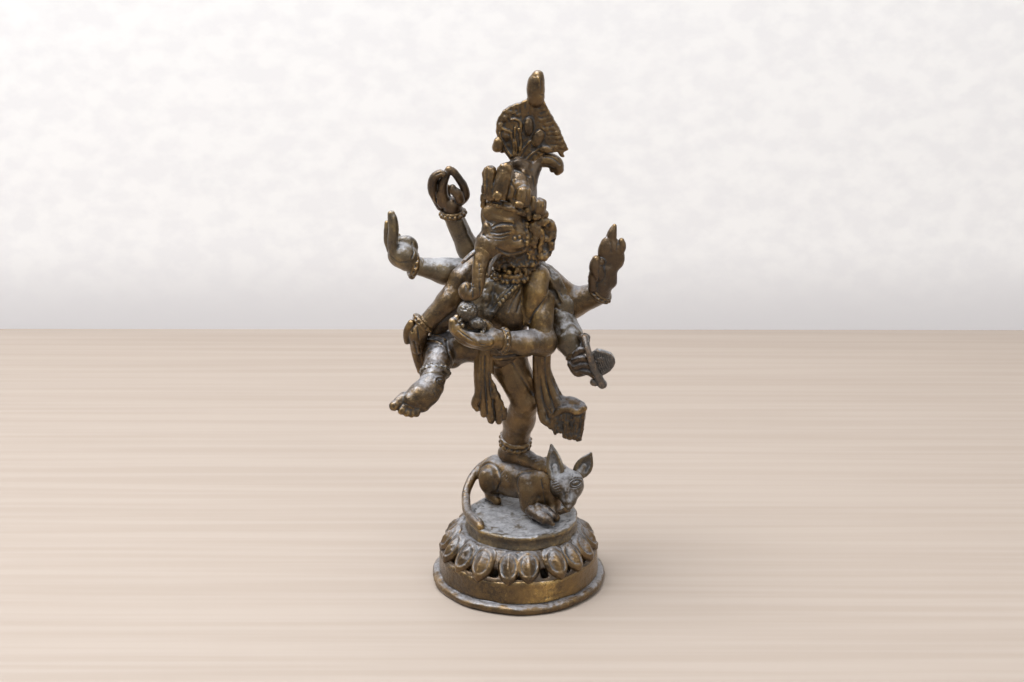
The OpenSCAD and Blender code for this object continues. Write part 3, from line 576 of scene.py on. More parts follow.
def beads(s, c, n, R, count, r, k=0.15, a0=0.0, squash=1.0, jitter=0.12):
    """Beads of radius r on a circle of radius R round axis n at c."""
    M = axes(n, (0, -1, 0.01))
    for i in range(count):
        a = a0 + 2 * math.pi * i / count
        j = 1 + jitter * math.sin(7.3 * i + 1.1)
        s.u(ell(V(c) + R * (math.cos(a) * M[0] + math.sin(a) * M[1]), (r * j, r * j, r * j * squash), M), k)
    return s

# ------------------------------------------------------------------ pedestal
def wobble(a, n, ph):
    return np.cos(a * n + F32(ph))

s_ring = Sculpt(0.36)
_ring = poly2([(24.3, 0), (27.9, 0), (28.7, 0.5), (29.0, 1.3), (28.8, 2.1), (28.2, 2.6), (26.8, 2.9), (24.3, 3.3)])
s_ring.u(lathe((0, 0, 0), lambda r, z, a: _ring(r + 0.22 * wobble(a, 3, 1) + 0.12 * wobble(a, 11, 2), z + 0.12 * wobble(a, 5, 0.4)) - F32(0.05), -0.2, 3.6, 29.6), 0)
s_ring.cut(lathe((0, 0, 0), lambda r, z, a: np.sqrt((r - F32(26.75)) ** 2 + (z - F32(3.1)) ** 2) - F32(0.34), 2.5, 3.7, 28), 0.3)
make("foot_ring_cast", s_ring, ["foot_ring"], "antique_brass", rough=0.14, grain=0.05, dust=lambda v, n: -0.04 + 0.55 * noise(v, 6.0, 17) + 0.40 * noise(v, 1.7, 18), wear_and_painted_light=0.02, seed=11)

s_band = Sculpt(0.34)
_band = poly2([(24.5, 3.0), (26.6, 3.0), (26.5, 5.5), (26.3, 8.4), (26.35, 9.4), (26.0, 10.2), (25.2, 10.6), (24.0, 10.4)])
s_band.u(lathe((0, 0, 0), lambda r, z, a: _band(r + 0.14 * wobble(a, 4, 2) + 0.10 * wobble(a, 13, 0), z + 0.25 * wobble(a, 7, 1.2) * np.clip((z - 6) / 4, 0, 1)), 2.8, 11, 27.2), 0)
for a0, a1, z0, z1 in ((-1.25, -0.9, 4.6, 5.0), (-1.2, -1.02, 7.2, 7.0), (-2.2, -1.75, 6.2, 5.6), (-0.7, -0.35, 6.5, 6.9), (2.0, 2.5, 6, 6.6), (0.6, 1.0, 5, 5.4)):
    s_band.tube([(26.6 * math.cos(a), 26.6 * math.sin(a), z) for a, z in zip(np.linspace(a0, a1, 5), np.linspace(z0, z1, 5))], 0.22, 0.25, 3, "c")
def hammer(v, n):
    return 0.12 * noise(v, 5.0, 5) + 0.05 * noise(v, 2.0, 6)
def front_gold(v, n):
    return 0 * v[:, 0]
# Painted highlight: a golden patch on the front of the band, centred 9 mm right of the axis, through the wear value;
# the front's tone also rises towards the right.
ob = make("base_band_cast", s_band, ["base_band"], "worn_brass", rough=0.07, grain=0.03, seed=12, extra=hammer, wear_and_painted_light=lambda v, n: 0.42 * np.exp(-((v[:, 0] - 9.0) / 7.5) ** 2) * (v[:, 1] < 0) + 0.10 * noise(v, 4.0, 20) - 0.08, tone_and_shade=lambda v, n: 0.5 * noise(v, 6.0, 19) + 0.03 * v[:, 0] * (v[:, 1] < 0), dust=lambda v, n: -0.1 + 0.16 * noise(v, 3.0, 21))

s_sh = Sculpt(0.3)
_sh = poly2([(26.0, 10.0), (25.2, 11.2), (24.0, 13.0), (21.9, 15.8), (19.4, 18.3), (16.8, 18.4), (16.8, 17.4), (20.2, 15.0), (22.5, 12.6), (23.9, 10.0)])
s_sh.u(lathe((0, 0, 0), lambda r, z, a: _sh(r, z), 9.8, 18.6, 26.2), 0)
for i in range(18):
    a = (i + 0.5) * 2 * math.pi / 18
    j = math.sin(i * 5.7 + 0.6)
    o = V((math.cos(a), math.sin(a), 0)); t = V((-math.sin(a), math.cos(a), 0))
    c = 24.3 * o + V((0, 0, 12.3))
    s_sh.cut(box(c, (1.65 + 0.5 * j, 2.4, 1.15 + 0.3 * abs(j)), np.array([t, unit(o + V((0, 0, 0.75))), unit(V((0, 0, 1)) - 0.75 * o)]), 0.5), 0.4)
    s_sh.cut(ball(c + 1.2 * unit(V((0, 0, 1)) - 0.75 * o), 0.75 + 0.2 * j), 0.5)
make("lotus_shoulder_cast", s_sh, ["lotus_shoulder"], "dark_brass", rough=0.12, grain=0.05, dust=lambda v, n: -0.15 + 0.22 * np.clip((v[:, 2] - 16.8) / 1.2, 0, 1) + 0.15 * noise(v, 2.0, 22), seed=13)

def petal(i):
    a = i * 2 * math.pi / 18 + 0.022 * math.sin(i * 2.9 + 1)
    ja, jb, jc = math.sin(i * 4.1 + 2), math.sin(i * 2.3 + 4), math.sin(i * 6.7)
    o = V((math.cos(a), math.sin(a), 0)); t = V((-math.sin(a), math.cos(a), 0))
    top = 19.0 * o + V((0, 0, 18.0 + 0.25 * ja)); tip = (26.1 + 0.25 * jb) * o + V((0, 0, 10.1 + 0.7 * jc))
    d = unit(tip - top); L = float(np.linalg.norm(tip - top))
    lean = 0.10 * jb
    d = unit(d + lean * t); n = unit(np.cross(t, d)); n = n if n @ o > 0 else -n
    t2 = np.cross(d, n)
    W = 4.0 + 0.22 * ja
    c = top.astype(F32); T, Dn, Nn = t2.astype(F32), d.astype(F32), n.astype(F32)
    def f(x, y, z):
        px, py, pz = x - c[0], y - c[1], z - c[2]
        u = T[0] * px + T[1] * py + T[2] * pz
        v = (Dn[0] * px + Dn[1] * py + Dn[2] * pz) / F32(L)
        w = Nn[0] * px + Nn[1] * py + Nn[2] * pz
        hw = np.where(v < 0.42, np.sqrt(np.clip(1 - (np.abs(v - 0.42) / 0.5) ** 3, 0, 1)), 1 - np.clip((v - 0.42) / 0.62, 0, 1) ** 2.5)
        hw = np.maximum(hw * F32(W), 0.05)
        rho = np.abs(u) / hw
        e = np.sqrt(np.clip(u / F32(W), -2, 2) ** 2 + np.clip((v - 0.48) / 0.50, -2, 2) ** 2)
        rr = np.maximum(rho, np.clip(e, 0, 2) * F32(0.96))
        crest = 0.72 + 0.28 * np.clip(1 - np.abs(v - 0.55) / 0.6, 0, 1)
        h = F32(0.42) + crest * (1.5 * bump(np.abs(u) / F32(W) + 0.25 * np.abs(v - 0.6), 0.0, 0.42) * np.clip(1.3 - rr, 0, 1) + 0.70 * bump(rr, 0.78, 0.15) + 0.15 * bump(rr, 0.5, 0.07)) + 0.95 * np.clip(1 - rr * rr, 0, 1)
        h = h + 0.18 * np.clip(u / F32(W), -1, 1) * F32(jc)
        side = (rho - 1) * hw * F32(0.8)
        return np.maximum(np.maximum((w - h) * F32(0.72), side), np.maximum((-v - 0.02) * F32(L), (v - 1.02) * F32(L)))
    P8 = np.array([top + s * W * t2 + m * n + q * L * d for s in (-1, 1) for m in (-2.6, 2.4) for q in (-0.03, 1.03)])
    g = Prim(f, P8.min(0), P8.max(0))
    lowcut = -1.4
    def g2(x, y, z):
        px, py, pz = x - c[0], y - c[1], z - c[2]
        w = Nn[0] * px + Nn[1] * py + Nn[2] * pz
        return np.maximum(g.f(x, y, z), F32(lowcut) - w)
    return Prim(g2, g.lo, g.hi)
s_pet = Sculpt(0.235)
for i in range(18): s_pet.u(petal(i), 0.45)
make("lotus_petals_cast", s_pet, ["lotus_petals"], "antique_brass", rough=0.14, grain=0.05, dust=lambda v, n: 0.10 * noise(v, 3.0, 23) + 0.2 * np.clip((v[:, 2] - 15.5) / 2.0, 0, 1), wear_and_painted_light=-0.02, tone_and_shade=lambda v, n: 0.4 * noise(v, 5.0, 24), seed=14)

s_drum = Sculpt(0.3)
_drum = poly2([(15.6, 17.9), (18.3, 17.9), (18.75, 18.5), (18.5, 19.2), (18.25, 20.2), (18.4, 21.3), (18.75, 22.1), (18.7, 22.7), (18.2, 23.05), (17.3, 23.0), (16.6, 22.55), (15.9, 22.25), (-1, 22.3), (-1, 20.6), (15.6, 20.6)])
s_drum.u(lathe((1, 0, 0), lambda r, z, a: _drum(r + 0.16 * wobble(a, 3, 0.3) + 0.10 * wobble(a, 7, 1) + 0.07 * wobble(a, 17, 1), z + 0.10 * wobble(a, 4, 2)), 17.7, 23.4, 19.4), 0)
def deck(v, n):
    flat = (np.hypot(v[:, 0] - 1, v[:, 1]) < 16.6) & (n[:, 2] > 0.6)
    return flat * (0.10 * noise(v, 2.2, 8) + 0.06 * noise(v, 0.8, 9))
make("platform_drum_cast", s_drum, ["platform_drum"], "dusty_brass", rough=0.12, grain=0.05, dust=lambda v, n: np.where(n[:, 2] > 0.6, 0.02 + 0.48 * noise(v, 4.5, 25) + 0.42 * noise(v, 1.1, 26), -0.40 + 0.16 * noise(v, 2.5, 27)), wear_and_painted_light=lambda v, n: np.where(n[:, 2] > 0.6, -0.3, 0.16 + 0.12 * noise(v, 4.0, 28)), seed=15, extra=deck)

# ------------------------------------------------------------------ mouse
s_mb = Sculpt(0.24)
s_mb.limb([(-7, 14.5, 31.2), (-1.5, 10, 31.6), (4.5, 4.5, 32), (9.5, 3, 34)], [6.5, 6.1, 5.4, 4.6], 2.5)
s_mb.u(ell((-9.4, 12.2, 29.6), (4.3, 3.6, 5.4), axes((-0.2, 0.1, 1), (-0.5, -1, 0))), 1.0)
s_mb.limb([(-9.8, 12.6, 27), (-9.4, 11.8, 24.6), (-7.4, 9.6, 23.4)], [2.8, 2.0, 1.6], 0.8)
s_mb.limb([(3.4, 1.6, 30.5), (3.8, -0.2, 26.2), (5.6, -2.6, 24.0), (8.2, -4.2, 23.5)], [4.2, 3.2, 1.9, 1.4], 1.0)
s_mb.limb([(10.6, 3.6, 30), (10.8, 0.8, 25.6), (11.4, -2.2, 23.9), (12.4, -4.4, 23.5)], [4.2, 3.0, 1.9, 1.3], 1.2)
s_mb.u(ell((8.6, 1.2, 28.2), (4.6, 3.0, 4.4)), 1.6)
s_mb.u(ell((10.0, 0.5, 30.3), (3.4, 2.4, 5.2)), 1.0)
s_mb.u(ell((-11.1, 9.0, 30.5), (2.6, 1.6, 4.2), axes((-0.15, 0.1, 1), (-0.3, -1, 0))), 1.2)
s_mb.limb([(8.5, 3.2, 34), (12.6, 3.2, 35.4)], [5.2, 4.6], 1.6)
for i in range(4):                                       # paws
    s_mb.tube([(6.4 + 0.75 * i, -3.0 - 0.25 * i, 23.8), (8.0 + 0.8 * i, -5.4 - 0.3 * i + 0.35 * abs(i - 1.5), 23.2)], [0.72, 0.5], 0.25, 3)
s_mb.groove([(-13.1, 8.0, 25.5), (-14.1, 8.0, 31.0), (-12.7, 8.0, 36.1), (-10.0, 8.0, 37.9), (-7.3, 8.0, 36.1), (-6.3, 8.0, 31.7), (-7.3, 8.0, 27.3)], 0.34, 0.5)
s_mb.groove([(-0.3, 2.0, 30.0), (-0.6, 2.0, 33.6), (0.7, 2.0, 36.5), (3.7, 1.0, 37.7)], 0.30, 0.5)
s_mb.groove([(8.7, 0.0, 26.2), (8.0, 0.0, 31.6), (7.3, 0.0, 35.2)], 0.30, 0.5)
for i in range(9):                                       # fur strokes on neck, rump and flank
    s_mb.groove([(5.3, 5.0, 39.6), (6.7, 5.0, 38.1)] if i == 0 else [tuple(V((4.7, 5.0, 39.9)) + V((0.62 * i, -0.25 * i, -0.35 * i))), tuple(V((6.0, 5.0, 38.5)) + V((0.62 * i, -0.25 * i, -0.45 * i)))], 0.15, 0.12, 2)
for i in range(7):
    s_mb.groove([tuple(V((-7.3, 9.0, 36.4)) + V((0.5 * i, -0.5 * i, -0.2 * i))), tuple(V((-6.7, 8.0, 33.9)) + V((0.6 * i, -0.5 * i, -0.4 * i)))], 0.14, 0.12, 2)
for i in range(6):
    s_mb.groove([tuple(V((-16.1, 11.0, 31.1)) + V((0.1 * i, 0, 1.0 * i))), tuple(V((-14.8, 10.0, 32.3)) + V((0.2 * i, 0, 1.1 * i)))], 0.15, 0.12, 2)
for i in range(8):
    s_mb.groove([tuple(V((7.3, 2.0, 34.4)) + V((0.15 * i, -0.1 * i, -0.95 * i))), tuple(V((9.3, 1.0, 35.5)) + V((0.0 * i, -0.1 * i, -0.95 * i)))], 0.13, 0.12, 2)
make("mouse_body_cast", s_mb, ["mouse_body", "figure_pin"], "antique_brass", rough=0.14, grain=0.03, dust=0.0, wear_and_painted_light=-0.05, seed=21)

s_mh = Sculpt(0.17)
s_mh.limb([(13.6, 3.4, 34.6), (16.2, 0.8, 33.0)], [4.5, 5.2], 1.5)
s_mh.u(ell((15.9, -1.6, 35.2), (5.4, 3.4, 4.6), axes((0, -0.3, 1), (0.1, -1, 0))), 1.0)
s_mh.u(ell((13.2, -2.8, 34.0), (3.0, 2.2, 4.0), axes((0.25, -0.2, 1), (-0.2, -1, 0))), 1.0)
s_mh.limb([(16.4, -0.4, 33.0), (16.5, -3.6, 29.6), (16.3, -5.3, 28.0)], [4.6, 2.3, 1.15], 1.6)
s_mh.u(ell((16.3, -5.6, 27.7), (1.25, 0.8, 0.75), axes((0, -0.4, 1))), 0.3)
s_mh.cut(cone((14.6, -5.9, 26.9), (18.4, -5.7, 27.2), 0.32, 0.32), 0.25)
s_mh.u(ell((16.0, -4.2, 26.5), (1.3, 1.5, 0.7), axes((0, -0.2, 1))), 0.5)
for side, c in ((1, (18.8, -3.0, 35.5)),):
    e = on(s_mh, c, 0.35)
    s_mh.u(ell(e, (0.9, 0.7, 0.9), axes((0.1 * side, -0.35, 1), (0.35 * side, -1, 0.1))), 0.2)
    M = axes((0.1 * side, -0.35, 1), (0.4 * side, -1, 0.15))
    for R, rr, mode in ((1.35, 0.22, "c"), (1.8, 0.24, "u"), (2.3, 0.17, "c"), (0.7, 0.14, "c")):
        p = [tuple(V(c) + R * (math.cos(a) * V((1, 0, 0)) + 0.78 * math.sin(a) * V((0.35 * side, 0, 1)))) for a in np.linspace(0, 2 * math.pi, 13)]
        (s_mh.groove if mode == "c" else s_mh.ridge)(p, rr, 0.1, 2)
for i in range(7):
    s_mh.groove([tuple(V((10.6, -1.0, 36.4)) + V((0.25 * i, 0, -0.95 * i))), tuple(V((12.2, -3.0, 38.0)) + V((0.30 * i, 0, -0.95 * i)))], 0.13, 0.1, 2)
for i in range(5):
    s_mh.groove([tuple(V((16.1, -3.0, 39.1)) + V((0.9 * i, 0, 0.05 * i))), tuple(V((15.8, -3.0, 37.3)) + V((0.85 * i, 0, -0.05 * i)))], 0.12, 0.1, 2)
s_mh.ridge([(16.1, -3.0, 38.7), (15.8, -4.0, 34.1), (15.9, -5.0, 29.6)], 0.35, 1.2)
make("mouse_head_cast", s_mh, ["mouse_head"], "dusty_brass", rough=0.06, grain=0.025, dust=lambda v, n: 0.56 + 0.2 * noise(v, 2.0, 29), wear_and_painted_light=-0.3, tone_and_shade=-0.3, seed=22)

s_me = Sculpt(0.17)
def mouse_ear(base, tip, w, face, th=0.55):
    b, t = V(base), V(tip); d = t - b; L = np.linalg.norm(d); z = d / L
    y = unit(V(face) - np.dot(face, z) * z); x = np.cross(y, z)
    pts = [(-w * 0.62, -0.14 * L), (-w * 0.98, 0.10 * L), (-w, 0.30 * L), (-w * 0.78, 0.58 * L), (-w * 0.36, 0.86 * L), (0.0, 1.02 * L), (w * 0.30, 0.86 * L), (w * 0.74, 0.58 * L), (w, 0.30 * L), (w * 0.98, 0.10 * L), (w * 0.62, -0.14 * L)]
    M = np.array([x, y, z])
    s_me.u(plate(pts, b, M, th, 0.35), 0.3)
    for sgn in (-1, 1):                                  # rolled rims, then the hollow between them
        s_me.tube([b + sgn * w * 0.80 * x, b + 0.3 * d + sgn * w * 0.92 * x + 0.35 * y, b + 0.62 * d + sgn * w * 0.68 * x + 0.4 * y, b + 0.98 * d + 0.25 * y], [0.55, 0.6, 0.52, 0.4], 0.5, 4)
    s_me.cut(ell(b + 0.36 * d + 0.95 * y, (w * 0.62, 0.95, L * 0.42), M), 0.45)
    s_me.u(cone(b - 0.6 * y - 0.6 * z, b + 0.3 * d - 0.45 * y, w * 0.75, w * 0.4), 0.8)
mouse_ear((12.5, -2.6, 37.5), (10.7, 1.0, 47.4), 2.5, (-0.12, -1, 0.1), 0.8)
mouse_ear((20.2, 1.2, 37.3), (23.8, 2.6, 43.9), 2.7, (0.25, -1, 0.2), 0.7)
make("mouse_ears_cast", s_me, ["mouse_ears"], "dusty_brass", rough=0.05, grain=0.02, dust=lambda v, n: 0.34 + 0.2 * noise(v, 2.0, 30), wear_and_painted_light=-0.1, seed=23)

s_tail = Sculpt(0.22)
s_tail.tube([(-7, 17, 35.4), (-12.4, 16.2, 33.2), (-16, 13.5, 29.6), (-17.7, 9.5, 26.4), (-17.7, 5, 24.6), (-17, -0.5, 24.0), (-15.4, -5.6, 24.0), (-13.2, -9.6, 23.9), (-12.6, -11.2, 23.5)], [1.4, 1.5, 1.5, 1.5, 1.5, 1.5, 1.6, 1.75, 1.5], 0.4, 5)
s_tail.groove([(-16.2, -2.0, 27.8), (-15.5, -5.0, 25.9), (-13.1, -9.0, 24.5)], 0.18, 0.2)
for i in range(12):
    t = i / 11
    a = V((-19.4, 6.0, 29.6)) * (1 - t) + V((-16.1, -4.0, 25.4)) * t
    s_tail.groove([tuple(a), tuple(a + V((1.3, 0, 0.5)))], 0.10, 0.1, 2)
s_tail.trim(s_mb, gap=0.4, k=1.0)
make("mouse_tail_cast", s_tail, ["mouse_tail"], "antique_brass", rough=0.10, grain=0.03, dust=0.08, seed=24)

s_ms = Sculpt(0.2)
for a, b, ra, rb in (((4.0, -4.0, 25.8), (8.3, -9.0, 24.9), 1.9, 1.5), ((6.3, -4.4, 26.8), (10.2, -9.4, 25.1), 1.9, 1.2), ((8.6, -4.8, 26.9), (11.9, -8.0, 25.9), 1.6, 1.0),
                     ((13.6, -5.0, 25.9), (15.5, -5.4, 26.9), 0.9, 1.0), ((9.9, -9.6, 24.2), (11.2, -10.4, 24.1), 0.8, 0.7)):
    s_ms.limb([(a[0], a[1], max(a[2], 23.2)), (b[0], b[1], max(b[2], 22.9))], [ra, rb], 0.7)
def lumpy(v, n):
    return 0.12 * noise(v, 1.4, 31) + 0.05 * noise(v, 0.6, 32)
make("mouse_sweets_cast", s_ms, ["mouse_sweets"], "dark_brass", rough=0.1, grain=0.05, seed=25, extra=lumpy)

# ------------------------------------------------------------------ legs
s_tor = Sculpt(0.26)
s_tor.limb([(-6, 4.8, 80), (-5, 4, 87), (-4.6, 2.2, 94), (-4.2, 4, 101), (-3.6, 5, 106)], [7.4, 6.6, 7.9, 7.4, 5.2], 2.5)
s_tor.limb([(-11, 4.5, 105), (-3.5, 5, 105.6), (3.5, 5.2, 104.6)], [4.6, 5, 4.6], 2.0)
s_tor.limb([(-3.2, 4.4, 107), (-3, 3, 112)], [4.4, 4.4], 1.5)
s_tor.u(ell((-3.2, 0.6, 92.5), (6.6, 6.2, 7.0)), 2.0)
s_tor.u(ell((-6, 3.4, 81.5), (7.6, 6.6, 3.4)), 1.2)
for p in ([(0.3, -3.0, 102.4), (-1.6, -4.0, 99.4), (-3.5, -4.0, 95.3)], [(-1.0, -3.0, 103.8), (-2.9, -4.0, 101.7)], [(0.6, -3.0, 99.1), (-0.7, -4.0, 95.4)]):
    s_tor.groove(p, 0.2, 0.5)
s_tor.ridge([(-11.3, -2.0, 81.0), (-6.1, -3.0, 80.7), (-1.3, -3.0, 81.4), (3.5, -2.0, 81.7)], 0.6, 0.5)
s_tor.ridge([(-11.3, -2.0, 79.3), (-6.1, -3.0, 79.0), (-1.3, -3.0, 79.7), (3.5, -2.0, 80.0)], 0.5, 0.5)
# Painted shade: the torso's tone is lowered all over.
make("torso_cast", s_tor, ["torso"], "antique_brass", rough=0.12, grain=0.03, seed=31, wear_and_painted_light=0.0, tone_and_shade=-0.25)

_gw = unit(V((-6.5, 0.0, 66.8)) - EYE); _gu = unit(np.cross(_gw, (0, 0, 1))); _gv = np.cross(_gu, _gw); _gc = V((-6.5, 0.0, 66.8))
gap_leg = plate([(float((V(q) - _gc) @ _gu), float((V(q) - _gc) @ _gv)) for q in ((-12.7, 0.0, 73.4), (-8.8, 0.0, 72.8), (-7.2, 0.0, 70.8), (-5.5, 0.0, 68.2), (-3.3, 0.0, 63.8), (-2.9, 0.0, 62.6), (-3.9, 0.0, 59.4), (-7.5, 0.0, 58.0), (-11.4, 0.0, 63.6))], _gc, np.array([_gu, _gw, _gv]), 20.0, 0.5)
s_leg = Sculpt(0.26)
s_leg.limb([(-4.5, 5.5, 78.5), (-1.8, 5, 69), (1.3, 4.5, 61.5), (0, 7, 54), (-1, 8.5, 47.5), (-1.6, 9.5, 43)], [6.8, 6.1, 4.9, 5.0, 4.2, 3.6], 2.2)
s_leg.cut(gap_leg, 0.5)
s_leg.limb([(-1.6, 9.5, 43), (-4, 11, 40.2), (2.5, 7, 40), (7, 3.2, 39.4), (9.4, 1.2, 38.8)], [3.4, 2.9, 2.8, 2.4, 1.7], 1.2)
for i in range(5):
    s_leg.limb([V((7.0, 3.2, 39.2)) + V((0.35, 0.95, 0)) * (i - 1.2), V((7.3, 1.5, 39.3)) + V((0.55, 1.05, 0.42)) * (i - 0.6)], [1.2, 0.85], 0.25)
s_leg.ridge([(3.6, 0.0, 71.3), (4.9, 0.0, 67.2), (5.5, 0.0, 63.0)], 0.5, 0.8)
s_leg.groove([(-2.3, -1.0, 77.2), (1.6, -1.0, 70.7), (4.5, -1.0, 66.2)], 0.25, 0.8)
for i in range(7):
    s_leg.groove([tuple(V((1.7, 5.0, 43.5)) + V((0.75 * i, -0.7 * i, -0.62 * i))), tuple(V((3.4, 7.0, 43.0)) + V((0.75 * i, -0.7 * i, -0.62 * i)))], 0.14, 0.12, 2)
make("standing_leg_cast", s_leg, ["standing_leg"], "antique_brass", rough=0.12, grain=0.03, seed=32, wear_and_painted_light=0.02)

s_an = Sculpt(0.2)
_ad = (-0.7, 1.2, -4.6)
s_an.u(torus((-1.1, 8.9, 46.2), _ad, 4.25, 1.15, 0.9), 0.2)
s_an.u(torus((-1.4, 9.2, 44.2), _ad, 4.2, 0.9), 0.2)
beads(s_an, (-1.35, 9.15, 44.5), _ad, 4.75, 16, 0.85, 0.1)
beads(s_an, (-1.1, 8.9, 46.3), _ad, 4.95, 15, 0.72, 0.2, 0.2)
make("standing_anklet_cast", s_an, ["standing_anklet"], "worn_brass", rough=0.10, grain=0.05, seed=33, dust=0.08, wear_and_painted_light=-0.34)

s_rl = Sculpt(0.24)
s_rl.limb([(-9, 4, 80.6), (-20, 1.6, 82.0), (-26, -0.5, 81.4)], [5.8, 5.0, 5.0], 1.8)
s_rl.limb([(-26, -0.5, 81.2), (-25.6, -5, 80), (-26.8, -9.5, 77.3), (-27.0, -12.5, 76.7)], [5.0, 4.6, 3.9, 3.7], 1.0)
s_rl.limb([(-27.0, -12.5, 76.7), (-27.9, -15.0, 74.6), (-31.3, -18.0, 72.4), (-33.8, -19.4, 70.9)], [3.6, 3.95, 3.9, 3.4], 0.8)
s_rl.limb([(-27.9, -15.6, 73.8), (-28.5, -16.8, 72.6), (-30.8, -18.8, 70.0)], [3.8, 3.6, 3.1], 0.8)
s_rl.limb([(-17.2, 2.0, 81.6), (-21.7, 1.5, 77.7)], [4.0, 3.5], 0.8)                     # cloth round the thigh
s_rl.ridge([(-31.7, -4.0, 85.5), (-27.5, -6.0, 86.2), (-24.9, -6.0, 85.2)], 0.55, 0.3)
s_rl.ridge([(-30.4, -4.0, 86.9), (-26.2, -6.0, 87.9), (-23.6, -6.0, 86.6)], 0.4, 0.3)
s_rl.groove([(-23.3, -6.0, 86.2), (-22.4, -6.0, 82.5), (-21.5, -5.0, 78.7), (-22.2, -5.0, 76.3)], 0.35, 0.4)
s_rl.groove([(-29.7, -7.0, 82.8), (-27.4, -8.0, 85.2), (-24.2, -8.0, 84.9), (-22.4, -7.0, 82.2)], 0.22, 0.25)
ankle = on(s_rl, (-25.0, -15.0, 76.0), 0.35)
s_rl.u(ball(ankle + V((0, 0.25, 0)), 0.6), 0.2)
s_rl.groove([tuple(ankle + 1.2 * (math.cos(a) * V((1, 0, 0)) + 0.8 * math.sin(a) * V((0, 0, 1)))) for a in np.linspace(0, 2 * math.pi, 11)], 0.2, 0.12, 2)
s_rl.ridge([tuple(ankle + 1.6 * (math.cos(a) * V((1, 0, 0)) + 0.8 * math.sin(a) * V((0, 0, 1)))) for a in np.linspace(0, 2 * math.pi, 11)], 0.2, 0.12, 2)
toes = [((-36.3, -19.0, 71.8), (-39.3, -21.6, 70.1), 2.0, 1.6), ((-35.0, -20.2, 70.9), (-36.9, -22.2, 68.6), 1.3, 1.2), ((-33.7, -20.2, 70.2), (-35.4, -22.2, 67.8), 1.25, 1.15), ((-32.5, -20.4, 69.9), (-33.9, -22.0, 67.4), 1.25, 1.1), ((-31.2, -20.2, 70.2), (-32.3, -21.8, 67.5), 1.25, 1.05)]
for a, b, ra, rb in toes:
    s_rl.limb([a, b], [ra, rb], 0.22)
for a, b, ra, rb in toes:                                                    # nails
    c = V(b) + V((0, -0.75 * rb, 0.45 * rb))
    s_rl.cut(cone(c + V((0.15, -0.45, 0.9)), c + V((-0.15, -0.45, -0.3)), 0.48, 0.48), 0.1)
s_rl.groove([(-37.5, -21.0, 71.5), (-35.9, -21.5, 70.9), (-34.0, -21.5, 70.0), (-31.8, -21.0, 68.8)], 0.26, 0.25)
for i in range(8):
    s_rl.groove([tuple(V((-26.0, -15.0, 74.0)) + V((-1.25 * i, -0.35 * i, -0.9 * i))), tuple(V((-25.1, -14.0, 71.5)) + V((-1.3 * i, -0.3 * i, -1.05 * i)))], 0.12, 0.12, 2)
def rl_mark(v, n):
    dome = ((v[:, 1] < -1) & (v[:, 1] > -10.5) & (v[:, 0] < -20)).astype(float)
    return dome * 0.05 * noise(v, 0.8, 41)
# Painted shade: the raised leg's tone is lowered all over.
make("raised_leg_cast", s_rl, ["raised_leg"], "antique_brass", rough=0.11, grain=0.03, seed=34, tone_and_shade=-0.4, dust=lambda v, n: -0.10 + 0.26 * np.clip((v[:, 2] - (-27.3, -6.0, 75.6)[2]) / 1.5, 0, 1) * np.clip(((-20.4, 0.0, 79.3)[0] - v[:, 0]) / 1.5, 0, 1), extra=rl_mark)

s_ra = Sculpt(0.2)
_rd = (0.1, -5.5, -5.0)
_rc = (-26.8, -10.4, 76.8)
s_ra.u(torus(_rc, _rd, 4.0, 0.95), 0.2)
beads(s_ra, _rc, _rd, 4.45, 17, 0.72, 0.12)
beads(s_ra, V(_rc) - 1.1 * unit(_rd), _rd, 4.25, 16, 0.6, 0.12, 0.2)
s_ra.u(torus((-27.2, -12.6, 76.1), (0.7, -5.5, -5.2), 3.75, 0.62), 0.2)
make("raised_anklet_cast", s_ra, ["raised_anklet"], "dusty_brass", rough=0.08, grain=0.04, seed=35, dust=-0.10, wear_and_painted_light=-0.28, tone_and_shade=-0.5)

# ------------------------------------------------------------------ cloth, necklace
s_cc = Sculpt(0.22)
for tri in (((1, -0.5, 105.5), (-3.5, -4.0, 101.5), (-8, -2, 104.5)), ((-3.5, -4.0, 101.5), (-8, -2, 104.5), (-11.4, -2.8, 97)), ((-3.5, -4.0, 101.5), (-8, -4.6, 95.5), (-11.4, -2.8, 97)), ((-11.4, -2.8, 97), (-8, -4.6, 95.5), (-11.6, -2.6, 92))):
    a, b, c = (V(p) for p in tri)
    for u_ in np.linspace(0, 1, 6):
        s_cc.u(cone(a * (1 - u_) + b * u_, a * (1 - u_) + c * u_, 1.35, 1.35), 0.8)
s_cc.ridge([(-0.0, -4.0, 104.7), (-2.9, -5.0, 102.1), (-6.1, -5.0, 98.4), (-8.6, -5.0, 94.7), (-10.9, -5.0, 91.3)], 0.62, 0.3)
s_cc.ridge([(-1.6, -4.0, 104.7), (-4.5, -5.0, 102.1), (-7.7, -5.0, 98.4), (-10.2, -5.0, 94.7)], 0.4, 0.3)
s_cc.ridge([(-10.5, -4.0, 106.1), (-10.8, -5.0, 102.4), (-11.5, -5.0, 98.0), (-12.1, -5.0, 93.7)], 0.5, 0.3)
s_cc.ridge([(-10.2, -5.0, 110.4), (-9.2, -5.0, 107.0), (-7.0, -5.0, 105.7), (-4.5, -5.0, 106.1)], 0.4, 0.3)
s_cc.limb([(-9.6, -3.0, 104.4), (-11.0, -4.0, 100.4), (-11.4, -4.4, 95.5), (-10.6, -4.0, 92.0)], [1.5, 2.0, 2.0, 1.6], 1.0)
def cloth(v, n):
    return 0.17 * noise(v, 1.5, 51) + 0.12 * noise(v, 0.75, 52)
